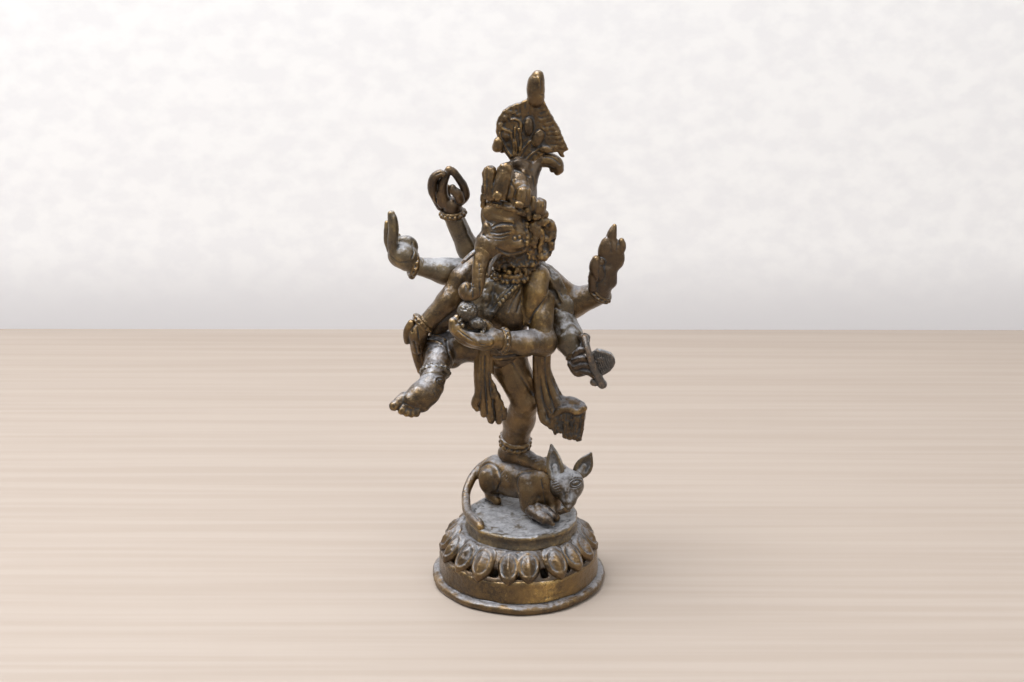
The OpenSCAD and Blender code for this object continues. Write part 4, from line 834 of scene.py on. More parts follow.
for q in ((-1.3, -6.0, 104.4), (-2.3, -6.0, 103.2), (-3.2, -6.0, 102.1), (-4.2, -6.0, 101.1), (-5.1, -6.0, 99.9), (-6.1, -6.0, 98.7)):
    s_cc.dot(q, 0.7, 0.2)
s_cc.limb([(-12.5, -2.2, 100.1), (-13.3, -2.6, 95.9), (-13.0, -2.8, 91.5)], [2.4, 2.6, 2.4], 0.8)
s_cc.trim(s_tor, gap=0.5)
make("chest_cloth_cast", s_cc, ["chest_cloth"], "dusty_brass", rough=0.10, grain=0.06, seed=36, dust=0.0, wear_and_painted_light=-0.08, extra=cloth)

s_nk = Sculpt(0.17)
s_nk.u(ell((-3.9, 1.2, 108.4), (4.4, 2.6, 2.6)), 0.5)
s_nk.u(ell((0.9, 2.0, 108.2), (3.4, 2.6, 2.4)), 0.5)
for row, (dz, r, R) in enumerate(((0.3, 0.92, 7.9), (-1.35, 0.80, 8.3), (1.9, 0.7, 7.5))):
    n_ = 17
    for i in range(n_):
        a = math.radians(172 + i * 200 / (n_ - 1) + 5 * row)
        q = V((-3 + R * math.cos(a), 3.6 + R * math.sin(a), 108.9 + dz - 2 * math.cos(math.radians((i - 8) * 12.5))))
        s_nk.u(ell(q + 0.25 * V((math.sin(3.1 * i + row), 0, math.sin(4.7 * i + 2 * row))), (r * (1 + 0.2 * math.sin(5 * i + row)), r, r * (1 + 0.15 * math.sin(7 * i)))), 0.3)
s_nk.tube([(-3 + 7.3 * math.cos(math.radians(a)), 3.6 + 7.3 * math.sin(math.radians(a)), 108.2 - 2 * math.cos(math.radians(a + 90))) for a in range(175, 376, 20)], 0.9, 0.5, 3)
for x_, z_ in ((509, 272), (513, 270.5), (517, 269.5), (521, 268.5), (525, 267), (529, 265), (532.5, 262.5)):
    s_nk.dot((-3.2, -6.0, 109.4) if x_ == 509 else tuple(V((-3.2, -6.0, 109.4)) + V(((x_ - 509) / 3.1, 0, (272 - z_) / 2.9))), 0.95, 0.2)
make("necklace_cast", s_nk, ["necklace"], "worn_brass", rough=0.07, grain=0.05, seed=37, wear_and_painted_light=-0.34, extra=lambda v, n: 0.16 * noise(v, 0.9, 98))

_gw = unit(V((-6.5, 0.0, 66.8)) - EYE); _gu = unit(np.cross(_gw, (0, 0, 1))); _gv = np.cross(_gu, _gw); _gc = V((-6.5, 0.0, 66.8))
gap_ = plate([(float((V(q) - _gc) @ _gu), float((V(q) - _gc) @ _gv)) for q in ((-9.2, 0.0, 73.0), (-8.3, 0.0, 72.6), (-7.2, 0.0, 70.8), (-5.5, 0.0, 68.2), (-3.4, 0.0, 63.8), (-3.9, 0.0, 61.7), (-4.5, 0.0, 60.3), (-5.0, 0.0, 62.2), (-6.4, 0.0, 66.0), (-7.6, 0.0, 68.9), (-8.8, 0.0, 71.0))], _gc, np.array([_gu, _gw, _gv]), 16.0, 0.3)
s_sc = Sculpt(0.24)
for p, r in (([(-13.2, -1.0, 80.7), (-13.3, -2.0, 73.1), (-13.0, -3.0, 67.6), (-14.3, -3.6, 64.0), (-13.6, -3.8, 62.0)], [1.3, 1.4, 1.4, 1.25, 0.9]),
             ([(-11.9, -1.6, 81.6), (-12.0, -2.8, 73.4), (-11.7, -3.4, 66.7), (-11.4, -3.9, 60.3)], [1.4, 1.5, 1.5, 1.2]),
             ([(-10.3, -1.6, 81.6), (-10.5, -2.6, 73.3), (-10.0, -3.4, 66.0), (-9.1, -3.8, 58.2)], [1.4, 1.45, 1.5, 1.35]),
             ([(-9.4, -1.4, 79.5), (-9.4, -2.2, 74.2), (-8.1, -3.0, 68.3), (-6.8, -3.4, 63.6), (-6.5, -3.6, 57.7)], [1.2, 1.3, 1.35, 1.3, 1.2]),
             ([(-8.4, -2.0, 69.3), (-6.5, -2.6, 65.4), (-5.2, -2.8, 61.6), (-4.9, -3.0, 58.5)], [0.9, 1.3, 1.3, 0.9])):
    s_sc.tube(p, r, 0.28, 5)
s_sc.limb([(-11.4, -1.2, 69.3), (-9.4, -1.6, 62.5), (-7.5, -1.8, 58.8)], [1.8, 2.2, 1.6], 0.6)
for p in ([(-12.4, -3.0, 80.0), (-12.3, -4.0, 72.2), (-12.6, -5.0, 64.2)], [(-11.0, -3.0, 80.0), (-11.0, -4.0, 72.2), (-10.2, -5.0, 60.7)], [(-9.7, -3.0, 74.5), (-9.1, -4.0, 68.0), (-7.8, -5.0, 59.3)]):
    s_sc.groove(p, 0.3, 0.2)
s_sc.cut(gap_, 0.4)
def pleat(v, n):
    return (0.10 + 0.16 * (v[:, 0] > (-9.1, 0.0, 65.4)[0])) * noise(v, 1.0, 55) * (v[:, 2] < 70)
make("sash_end_centre_cast", s_sc, ["sash_end_centre"], "antique_brass", rough=0.10, grain=0.05, seed=38, extra=pleat, wear_and_painted_light=-0.04)

s_ss = Sculpt(0.24)
for p, r in (([(5.8, 2.2, 80.2), (5.9, 2.8, 72.4), (6.5, 1.6, 64.8), (7.8, 0.4, 59.3)], [1.4, 1.5, 1.5, 1.6]),
             ([(7.4, 1.4, 80.5), (7.3, 2.0, 72.7), (8.8, 0.8, 65.1), (10.8, -0.4, 58.9)], [1.4, 1.5, 1.5, 1.6]),
             ([(9.1, 1.8, 80.4), (9.1, 2.2, 72.6), (11.1, 1.0, 65.7), (13.4, -0.2, 61.0)], [1.3, 1.4, 1.5, 1.6]),
             ([(8.4, 2.8, 77.2), (10.4, 2.6, 70.4), (13.1, 1.6, 64.5), (15.3, 0.6, 62.4)], [1.0, 1.1, 1.2, 1.3])):
    s_ss.tube(p, r, 0.28, 5)
s_ss.tube([(7.2, 0.0, 59.5), (8.2, -0.6, 56.9), (10.2, -1.0, 55.6)], [1.3, 1.4, 1.1], 0.5, 4)
s_ss.tube([(10.8, -1.4, 55.8), (12.7, -1.6, 60.1), (15.9, -2.0, 61.3), (18.9, -2.4, 60.4), (21.1, -2.2, 61.8)], [1.0, 1.25, 1.1, 1.2, 1.1], 0.3, 4)   # rolled upper hem
s_ss.tube([(14.0, 0.8, 63.0), (17.3, 0.2, 63.3), (20.5, -0.8, 62.3)], [1.5, 1.5, 1.2], 0.6, 4)
for i in range(7):                                           # ribs of the flare
    t = i / 6
    a = V((9.8, -0.8, 57.0)) * (1 - t) + V((20.9, -1.6, 61.2)) * t
    b = V((10.5, -1.4, 54.8)) * (1 - t) + V((19.6, -2.2, 50.9)) * t
    if i in (1, 3, 4): b = b + V((0, 0, -1.0))
    s_ss.tube([a + V((0, 0.2, 0)), 0.5 * (a + b) + V((0.15, -0.35 if i % 2 else 0.45, 0)), b], [1.05, 1.1, 0.95], 0.22, 4)
s_ss.limb([(10.8, 1.2, 57.6), (15.1, 0.6, 58.2), (19.0, -0.4, 58.2)], [2.4, 2.7, 2.0], 0.8)
s_ss.limb([(12.1, 0.4, 54.4), (16.7, -0.2, 53.9), (18.7, -0.8, 53.5)], [2.0, 2.2, 1.6], 0.8)
s_ss.limb([(12.7, 0.6, 62.0), (16.6, 0.0, 61.6), (19.6, -1.0, 61.3)], [1.6, 1.9, 1.4], 0.8)
for p in ([(6.6, 0.0, 79.0), (6.8, 0.0, 70.7), (8.1, -1.0, 63.4), (10.4, -2.0, 59.9)], [(8.4, 0.0, 79.0), (8.8, 0.0, 70.7), (10.4, -1.0, 64.8), (12.7, -2.0, 61.3)], [(9.9, 0.0, 75.5), (11.4, 0.0, 69.3), (13.7, -1.0, 64.4)]):
    s_ss.groove(p, 0.28, 0.2)
for i in range(6):
    s_ss.groove([tuple(V((12.0, -4.0, 60.0)) + V((1.7 * i, 0, 0.1 * i))), tuple(V((12.1, -4.0, 56.2)) + V((1.6 * i, 0, 0.12 * i))), tuple(V((12.4, -4.0, 52.6)) + V((1.45 * i, 0, 0.2 * i)))], 0.24, 0.15, 3)
_sx, _sz, _st = (11.1, 0.0, 56.6)[0], (15.0, -1.0, 59.9)[2], (15.0, -1.0, 62.0)[2]
# Painted shade: under() marks the pocket beneath the top fold, which gets a much darker tone and less gold; hem() gives
# the rolled hem a little more gold.
def under(v): return np.clip((v[:, 0] - _sx) / 0.8, 0, 1) * np.clip((_sz - v[:, 2]) / 0.8, 0, 1)
def hem(v): return np.clip((v[:, 0] - (15.7, 0.0, 60.2)[0]) / 0.8, 0, 1) * np.clip((v[:, 2] - _sz) / 0.5, 0, 1) * np.clip((_st - v[:, 2]) / 0.5, 0, 1)
make("sash_end_side_cast", s_ss, ["sash_end_side"], "antique_brass", rough=0.10, grain=0.05, seed=39, wear_and_painted_light=lambda v, n: -0.02 - 0.5 * under(v) + 0.15 * hem(v), tone_and_shade=lambda v, n: -1.5 * under(v), dust=lambda v, n: 0.30 * np.clip((v[:, 2] - _st) / 0.6, 0, 1) * np.clip((v[:, 0] - _sx) / 0.8, 0, 1), extra=lambda v, n: (0.14 + 0.12 * under(v)) * noise(v, 0.9, 56) * (v[:, 2] < 61) * (v[:, 0] > 10))

# ------------------------------------------------------------------ head
s_hd = Sculpt(0.17)
s_hd.limb([(-2.8, 2, 123.5), (-3.6, 0, 120), (-4.4, -1.6, 116.6)], [8.1, 8.0, 5.6], 2.0)
s_hd.limb([(-7.2, -3.0, 120.4), (-9.6, -5.2, 118.2), (-10.6, -6.2, 116.6)], [4.8, 4.0, 3.3], 1.6)
s_hd.limb([(0, -2.2, 118), (-3.4, -3.6, 116.8)], [4.0, 3.6], 1.5)
s_hd.u(ell((-5.4, -3.0, 128.8), (6.0, 3.4, 4.0), axes((0.1, 0.25, 1), (-0.4, -1, 0))), 2.4)
s_hd.u(ell((-10.0, -2.4, 126.7), (2.1, 2.6, 3.8)), 1.6)
s_hd.u(ell((-9.8, -6.9, 118.5), (3.5, 2.3, 4.2), axes((0.05, 0.2, 1), (-0.35, -1, 0))), 1.6)
s_hd.u(ell((-3.9, -1.8, 111.7), (5.4, 3.0, 3.6)), 1.2)
s_hd.u(ell((1.5, -0.6, 111.0), (4.6, 3.2, 4.4)), 1.2)
s_hd.limb([(4.0, 1.0, 120.4), (4.7, 2.0, 112.2)], [4.4, 3.6], 1.4)
s_hd.u(ell(on(s_hd, (-1.9, -6.0, 118.6), 1.2), (3.4, 1.9, 1.9), axes((0, 0, 1), (-0.2, -1, 0))), 0.8)      # cheek
s_hd.u(ell(on(s_hd, (-5.4, -6.0, 126.6), 1.1), (4.0, 1.5, 1.1), axes((0.1, 0, 1), (-0.4, -1, 0))), 1.1)     # brow
s_hd.u(ell(on(s_hd, (-5.1, -6.0, 123.8), 0.9), (4.0, 1.45, 1.6), axes((0.12, 0, 1), (-0.35, -1, 0))), 1.1)    # eye
s_hd.u(ell(on(s_hd, (-10.0, -6.0, 122.8), 1.0), (1.8, 1.3, 2.8), axes((-0.15, 0, 1), (-0.8, -0.6, 0))), 1.2)
s_hd.ridge([(-7.9, -6.0, 124.0), (-5.4, -6.0, 124.3), (-2.3, -6.0, 124.2)], 0.3, 0.4)
s_hd.groove([(-8.3, -6.0, 124.0), (-7.0, -6.0, 124.8), (-5.1, -6.0, 125.3), (-2.4, -6.0, 125.2)], 0.42, 0.16)
s_hd.groove([(-8.8, -6.0, 122.4), (-6.0, -6.0, 122.0), (-2.6, -6.0, 122.8)], 0.3, 0.16)
s_hd.groove([(-7.9, -6.0, 121.1), (-5.7, -6.0, 120.9), (-3.2, -6.0, 121.5)], 0.26, 0.16)
s_hd.groove([(-7.6, -6.0, 120.0), (-5.4, -6.0, 119.9), (-3.5, -6.0, 120.4)], 0.16, 0.16)
s_hd.groove([(-11.6, -5.0, 128.1), (-10.7, -5.0, 126.5), (-9.5, -5.0, 125.5), (-8.5, -5.0, 124.8)], 0.2, 0.2)
s_hd.groove([(-12.0, -5.0, 123.5), (-11.1, -5.0, 121.2), (-9.5, -5.0, 119.9)], 0.24, 0.2)
s_hd.groove([(0.6, -5.0, 115.7), (-2.3, -6.0, 115.3), (-5.1, -6.0, 116.0), (-7.0, -6.0, 117.3)], 0.4, 0.5)                     # mouth
s_hd.groove([(-13.9, -7.0, 116.3), (-12.0, -8.0, 115.6), (-9.8, -8.0, 114.6)], 0.28, 0.2)                                   # trunk folds
s_hd.groove([(-14.5, -6.0, 117.3), (-12.3, -8.0, 117.2), (-10.1, -8.0, 115.9)], 0.14, 0.2)
for c, r in (((-1.3, -6.0, 120.4), 0.7), ((0.1, -6.0, 120.8), 0.75), ((0.6, -6.0, 119.6), 0.6)):
    s_hd.dot(c, r * 0.8, 0.3)
s_hd.ridge([(2.1, -5.0, 124.8), (2.8, -5.0, 121.6), (2.1, -5.0, 118.3)], 0.6, 0.5)
s_hd.ridge([(3.7, -4.0, 123.9), (4.3, -4.0, 120.0), (3.7, -4.0, 116.0)], 0.7, 0.5)
def head_skin(v, n):
    """Curls at the temple and rough, unworked brass under the jaw."""
    hair = np.clip((v[:, 0] - 0.2) / 2.0, 0, 1)
    jaw = np.clip((115.6 - v[:, 2]) / 2.0, 0, 1) * np.clip((v[:, 0] + 8.0) / 2.0, 0, 1)
    return np.maximum(0.8 * hair, jaw) * (0.55 * noise(v, 1.6, 91) + 0.34 * noise(v, 0.8, 92)) - 0.4 * jaw
# Painted shade: the head's tone is lowered a little all over and much more under the jaw. A soft grey patch is added on
# the trunk root.
make("head_cast", s_hd, ["head"], "antique_brass", rough=0.07, grain=0.02, seed=41, wear_and_painted_light=0.04, tone_and_shade=lambda v, n: -0.10 - 0.9 * np.clip((115.6 - v[:, 2]) / 1.5, 0, 1) * np.clip((v[:, 0] + 8.0) / 2.0, 0, 1), dust=lambda v, n: 0.25 * np.exp(-((v[:, 0] + 8.5) / 3.0) ** 2 - ((v[:, 2] - 118.5) / 3.0) ** 2), extra=head_skin)

s_tk = Sculpt(0.2)
s_tk.tube([(-10.2, -5.8, 117.6), (-11.6, -7.8, 115.0), (-12.4, -9.8, 111.4), (-12.8, -11.4, 107.6), (-13.6, -12.2, 104.9), (-15.2, -12.4, 103.9), (-16.5, -12.4, 104.2), (-17.0, -12.2, 105.4), (-16.4, -12.1, 106.4)], [3.1, 2.7, 2.35, 2.15, 2.15, 2.05, 2.2, 2.1, 1.7], 0.5, 6)
s_tk.groove([(-14.4, -11.6, 107.2), (-14.6, -12.0, 105.0), (-14.5, -12.0, 102.7)], 0.26, 0.3)
s_tk.groove([(-16.9, -11.6, 107.2), (-16.6, -12.0, 104.7), (-17.0, -12.0, 102.7)], 0.18, 0.3)
s_tk.groove([(-12.6, -10.0, 113.9), (-12.4, -11.0, 108.3), (-12.3, -12.0, 103.4)], 0.2, 0.5)
for i in range(6):
    s_tk.groove([tuple(V((-14.5, -9.0, 113.6)) + V((-0.1 * i, -0.3 * i, -1.5 * i))), tuple(V((-12.6, -10.0, 113.3)) + V((-0.1 * i, -0.3 * i, -1.5 * i))), tuple(V((-10.4, -9.0, 113.6)) + V((-0.1 * i, -0.3 * i, -1.5 * i)))], 0.09, 0.15, 2)
s_tk.trim(s_hd, gap=0.5, k=0.8)
make("trunk_cast", s_tk, ["trunk"], "antique_brass", rough=0.09, grain=0.03, seed=42, dust=0.02)

s_tu = Sculpt(0.16)
s_tu.tube([(-6.0, -6.0, 116.3), (-7.6, -8.5, 114.8), (-9.1, -10.0, 112.6), (-9.6, -11.0, 110.0)], [0.95, 0.74, 0.6, 0.46], 0.3, 5)
s_tu.tube([(-12.6, -6.6, 117.1), (-14.8, -8.0, 115.9), (-16.6, -9.0, 114.6), (-17.7, -9.4, 113.6)], [0.9, 0.8, 0.7, 0.46], 0.3, 5)
s_tu.groove([(-7.3, -8.0, 115.0), (-8.8, -9.5, 112.8)], 0.16, 0.2)
s_tu.groove([(-14.2, -7.0, 116.9), (-17.0, -9.0, 114.6)], 0.2, 0.2)
s_tu.trim(s_hd, gap=0.4, k=0.5)
make("tusks_cast", s_tu, ["tusks"], "pale_brass", rough=0.05, grain=0.02, seed=43)

s_el = Sculpt(0.18)
s_el.u(ell((7.5, -0.8, 118.7), (4.0, 1.2, 6.2), axes((0.05, 0, 1))), 0)
s_el.u(ell((4.7, -2.0, 119.4), (2.8, 1.6, 6.4)), 0.8)
s_el.tube([(5.4, -3.0, 124.9), (7.8, -2.4, 124.9), (9.7, -1.8, 123.6), (10.7, -1.4, 121.8), (10.5, -1.4, 120.3), (9.6, -1.2, 118.9), (9.9, -1.2, 117.2), (9.6, -1.2, 115.5), (8.6, -1.4, 114.2), (7.5, -1.8, 113.2), (6.4, -2.4, 113.9)], [1.4, 1.7, 1.6, 1.3, 1.5, 1.2, 1.45, 1.2, 1.5, 1.5, 1.2], 0.4, 3)
s_el.cut(ell((8.6, -3.9, 122.4), (1.3, 1.7, 2.9), axes((0.5, 0, 1))), 0.6)
s_el.cut(ell((8.1, -3.6, 117.2), (0.8, 1.4, 2.7), axes((-0.25, 0, 1))), 0.5)
s_el.cut(ell((5.7, -4.2, 116.4), (0.6, 1.1, 2.4), axes((0.2, 0, 1))), 0.5)
s_el.cut(ell((10.6, -2.0, 118.6), (0.9, 1.2, 0.55), axes((0.3, 0, 1))), 0.4)
s_el.cut(ell((10.2, -2.0, 114.8), (0.8, 1.2, 0.5), axes((-0.3, 0, 1))), 0.4)
for c, r, t in (((6.4, -3.4, 121.8), (1.1, 1.0, 3.0), (-0.35, 0, 1)), ((6.7, -3.0, 117.7), (1.0, 1.0, 3.4), (0.1, 0, 1)), ((4.8, -4.2, 122.7), (1.3, 1.0, 2.4), (-0.4, 0, 1)), ((4.7, -4.2, 119.0), (1.1, 0.9, 2.6), (0.1, 0, 1)), ((8.3, -2.2, 119.1), (1.5, 0.9, 1.1), (0.2, 0, 1))):
    s_el.u(ell(c, r, axes(t)), 0.45)
s_el.trim(s_hd, gap=0.5, k=0.9)
make("ear_left_cast", s_el, ["ear_left"], "antique_brass", rough=0.12, grain=0.03, seed=44, dust=-0.1, wear_and_painted_light=0.0, tone_and_shade=-0.1, extra=lambda v, n: 0.40 * noise(v, 1.8, 93) + 0.22 * noise(v, 0.9, 94))

s_er = Sculpt(0.22)
for c, r in (((-9.6, 6, 123.6), (1.5, 2.4, 2.4)), ((-10.8, 7.6, 121.6), (1.4, 2.4, 2.6)), ((-11.0, 8.4, 118.8), (1.4, 2.2, 2.4)), ((-10.2, 8.0, 116.0), (1.4, 2.1, 2.2)), ((-9.0, 6.4, 114.4), (1.4, 2.0, 2.0)), ((-9.4, 6.2, 119), (1.4, 3.0, 4.2))):
    s_er.u(ell(V(c) + V((1.2, 0, 0)), r), 0.7)
s_er.tube([(-10.6, 5.4, 122.4), (-11.2, 6.8, 119), (-10.2, 6.2, 115.4)], 0.5, 0.3, 4)
s_er.trim(s_hd, gap=0.5, k=0.8)
make("ear_right_cast", s_er, ["ear_right"], "antique_brass", rough=0.12, grain=0.03, seed=45)

# ------------------------------------------------------------------ crown and crest
_ca, _cb = math.radians(-20), math.radians(18)
CR = np.array([[math.cos(_cb), 0, math.sin(_cb)], [0, 1, 0], [-math.sin(_cb), 0, math.cos(_cb)]]) @ np.array([[1, 0, 0], [0, math.cos(_ca), -math.sin(_ca)], [0, math.sin(_ca), math.cos(_ca)]])
CC = V((-2.4, 1.5, 127))
def crown(a, r, h):
    return CC + CR @ V((r * math.cos(math.radians(a)), r * math.sin(math.radians(a)), h))
cz = CR @ V((0, 0, 1))
s_cb = Sculpt(0.2)
s_cb.u(torus(CC - 0.1 * cz, cz, 8.9, 0.95, 0.9), 0.3)
s_cb.u(torus(CC + 1.1 * cz, cz, 8.7, 0.85, 0.9), 0.3)
for i in range(30):                                      # a rope of knots
    s_cb.u(ell(crown(-190 + 8.4 * i, 9.25 + 0.12 * math.sin(4.1 * i), 0.35 * math.sin(2.3 * i)), (0.85, 0.55, 0.75)), 0.3)
for i in range(10):
    s_cb.cut(cone(crown(-75 + 9 * i, 9.6, 0.5), crown(-72 + 9 * i, 9.6, -1.4), 0.16, 0.16), 0.1)
s_cb.u(ell(CC - 0.4 * cz, (7.8, 7.8, 2.0), axes(cz)), 0.5)
make("crown_band_cast", s_cb, ["crown_band"], "antique_brass", rough=0.12, grain=0.04, seed=46, wear_and_painted_light=0.0, extra=lambda v, n: 0.12 * noise(v, 1.2, 95))

s_cl = Sculpt(0.2)
leaves = [((-9.0, -4.0, 133.0), (-9.1, -2.8, 142.3), 2.3, 1.7, (-0.60, -0.80, 0.25)),
          ((-6.0, -6.2, 133.9), (-4.0, -4.8, 143.7), 2.45, 1.9, (-0.25, -0.97, 0.25)),
          ((1.0, -6.6, 131.5), (1.5, -6.0, 136.9), 2.3, 1.9, (0.15, -1, 0.4)),
          ((6.0, -3.8, 128.1), (6.5, -3.2, 132.4), 2.3, 1.8, (0.6, -0.8, 0.4)),
          (crown(-198, 8.0, 0.6), crown(-198, 7.6, 8.4), 2.0, 1.3, (-0.95, 0.3, 0.1))]
for i, (a, b, w, th, face) in enumerate(leaves):
    a, b = V(a), V(b); d = b - a; L = np.linalg.norm(d); M = axes(d, face)
    pts = [(-w * 0.86, -0.6), (-w, 0.45 * L), (-w * 0.98, 0.88 * L), (-w * 0.70, 1.03 * L), (-w * 0.1, 1.10 * L), (w * 0.66, 1.02 * L), (w * 0.98, 0.86 * L), (w, 0.45 * L), (w * 0.86, -0.6)]
    s_cl.u(plate(pts, a, M, th, 1.15), 0.15)
    s_cl.u(ell(0.52 * a + 0.48 * b + 0.75 * M[1], (w * 0.74, th, 0.60 * L), M), 0.5)
    if i in (0, 4):
        for o in (-0.1, 0.62):
            s_cl.tube([a + M[0] * w * o + M[1] * (th + 0.75), b + M[0] * w * o + M[1] * (th + 0.35)], 0.42, 0.2, 2, "c")
    elif i == 1:
        s_cl.tube([a + M[0] * w * -0.80 + M[1] * (th + 0.3), b + M[0] * w * -0.72 + M[1] * (th + 0.1)], 0.4, 0.25, 2, "c")
        s_cl.tube([b + M[0] * w * 0.35 + M[1] * (th + 0.5), b + M[0] * w * 0.8 - 0.25 * d + M[1] * (th + 0.4)], 0.3, 0.2, 2, "c")
    else:
        for o in (-0.42, 0.42):
            s_cl.tube([a + M[0] * w * o + M[1] * (th + 0.65), b + M[0] * w * o + M[1] * (th + 0.35)], 0.32, 0.2, 2, "c")
        s_cl.cut(box(b + 0.02 * d + M[1] * th, (w * 0.9, 0.25, 0.16), M, 0.1), 0.2)
s_cl.u(ell((-1.6, -5.6, 131.2), (1.6, 1.4, 3.0)), 0.4)          # low pieces between the leaves
s_cl.u(ell((-2.6, -4.6, 133.8), (1.3, 1.2, 3.6)), 0.4)
s_cl.u(ell((3.7, -4.8, 130.0), (1.2, 1.2, 3.0)), 0.4)
s_cl.u(box((-1.8, -4.8, 135.7), (2.0, 1.8, 3.0), axes((0.25, 0.2, 1), (0, -1, 0.3)), 1.4), 0.6)
s_cl.u(ell((0.2, -4.2, 137.4), (3.0, 1.7, 1.6), axes((0.1, 0.2, 1), (0, -1, 0.4))), 0.6)
s_cl.u(ell((-2.3, -5.4, 137.2), (1.0, 0.9, 2.4), axes((0.3, 0.2, 1))), 0.3)
s_cl.u(ell((4.2, -4.8, 131.3), (1.3, 1.3, 2.6), axes((0.1, 0.2, 1))), 0.3)
s_cl.groove([(-2.6, -6.0, 138.4), (-1.3, -6.0, 136.1), (-1.9, -6.0, 133.2)], 0.3, 0.4)
s_cl.u(ell((-3.2, -2.6, 137.1), (1.8, 1.8, 3.2), axes((0.2, 0.2, 1))), 0.4)
s_cl.u(ell((2.7, -6.0, 129.0), (1.1, 1.1, 2.8), axes((-0.2, 0.2, 1))), 0.4)
s_cl.u(ell((6.8, -2.6, 127.4), (2.6, 1.6, 1.8)), 0.5)
make("crown_leaves_cast", s_cl, ["crown_leaves"], "antique_brass", rough=0.16, grain=0.05, seed=47, wear_and_painted_light=0.0, tone_and_shade=lambda v, n: 0.35 * noise(v, 3.0, 101), extra=lambda v, n: 0.10 * noise(v, 1.4, 99))

s_cj = Sculpt(0.17)
for c, r, face in (((-10.7, -3.6, 135.7), (1.4, 1.1, 2.0), (-1, -0.5, 0)), ((-6.6, -7.7, 134.7), (1.75, 1.2, 1.75), (-0.3, -1, 0.2)), ((-0.0, -8.3, 132.1), (1.95, 1.2, 1.4), (0.1, -1, 0.2)), ((5.2, -5.5, 127.4), (1.8, 1.2, 1.2), (0.5, -0.9, 0)),
                   ((-11.2, -3.0, 132.7), (1.2, 1.0, 1.8), (-1, -0.4, 0)), ((-11.3, -2.8, 130.4), (1.0, 0.9, 1.3), (-1, -0.4, 0)), (crown(-198, 9.3, 1.0), (1.3, 1.1, 1.5), (-1, 0.2, 0)), ((2.4, -6.8, 130.0), (1.0, 0.8, 1.1), (0.5, -1, 0))):
    s_cj.u(box(c, (r[0] * 0.82, r[1], r[2] * 0.82), axes((0.75, 0, 1) if abs(r[0] - r[2]) < 0.05 else (0.1, 0, 1), face), min(r) * 0.8), 0.5)
make("crown_jewels_cast", s_cj, ["crown_jewels"], "antique_brass", rough=0.10, grain=0.03, seed=48, wear_and_painted_light=0.06)

s_tn = Sculpt(0.22)
s_tn.limb([(-1.6, 3.4, 128.6), (-0.4, 4.4, 132.0), (0.4, 6.0, 136.0), (1.6, 7.6, 139.8)], [6.4, 5.0, 3.6, 2.8], 1.6)
s_tn.limb([(3.1, 5.0, 130.5), (3.4, 6.4, 136.0), (4.7, 8.0, 139.2)], [2.6, 2.3, 2.2], 1.0)
s_tn.limb([(-2.3, 7.0, 140.4), (-0.4, 7.0, 141.4), (1.8, 7.0, 140.4)], [1.8, 2.2, 2.0], 0.7)
s_tn.limb([(2.4, 8.0, 140.1), (5.0, 8.6, 140.0), (6.9, 9.0, 142.2)], [2.0, 1.9, 1.9], 0.8)
s_tn.groove([(-3.2, 6.0, 140.3), (-1.0, 6.0, 139.3), (1.5, 6.0, 138.4), (3.1, 6.0, 137.4)], 0.5, 0.4)
s_tn.u(ball(on(s_tn, (1.5, 6.0, 138.5), 0.3), 0.9), 0.2)
for p in ([(2.5, 6.0, 136.8), (3.4, 6.0, 132.8), (3.1, 6.0, 130.5)], [(4.3, 7.0, 137.1), (4.7, 6.0, 134.1)], [(-2.6, 6.0, 140.0), (-1.7, 5.0, 137.0)]):
    s_tn.groove(p, 0.28, 0.3)
s_tn.groove([(-2.6, 6.0, 142.3), (-0.1, 6.0, 142.8), (2.8, 6.0, 141.3)], 0.2, 0.3)
make("topknot_cast", s_tn, ["topknot"], "dark_brass", rough=0.10, grain=0.04, seed=49, dust=-0.08)

s_cf = Sculpt(0.2)
fan_px = [(-3.3, 8.2, 142.4), (-5.0, 8.2, 144.9), (-6.6, 8.2, 148.2), (-7.3, 8.2, 151.1), (-7.3, 8.2, 153.7), (-6.5, 8.2, 155.9), (-5.1, 8.2, 158.0), (-3.2, 8.2, 159.3), (-1.4, 8.2, 160.2), (0.5, 8.2, 160.7), (2.4, 8.2, 161.8), (7.6, 8.2, 161.4), (9.6, 8.2, 157.7), (12.6, 8.2, 152.1), (15.5, 8.2, 145.5), (13.7, 8.2, 144.2), (12.9, 8.2, 145.1), (10.3, 8.2, 144.3), (7.8, 8.2, 144.3), (5.9, 8.2, 142.7), (3.4, 8.2, 139.8), (-0.4, 8.2, 140.1)]
s_cf.u(plate([(p[0], p[2]) for p in fan_px], (0, 8.3, 0), np.eye(3), 1.0, 0.35), 0.2)
hub = (-0.9, 7.0, 143.2)
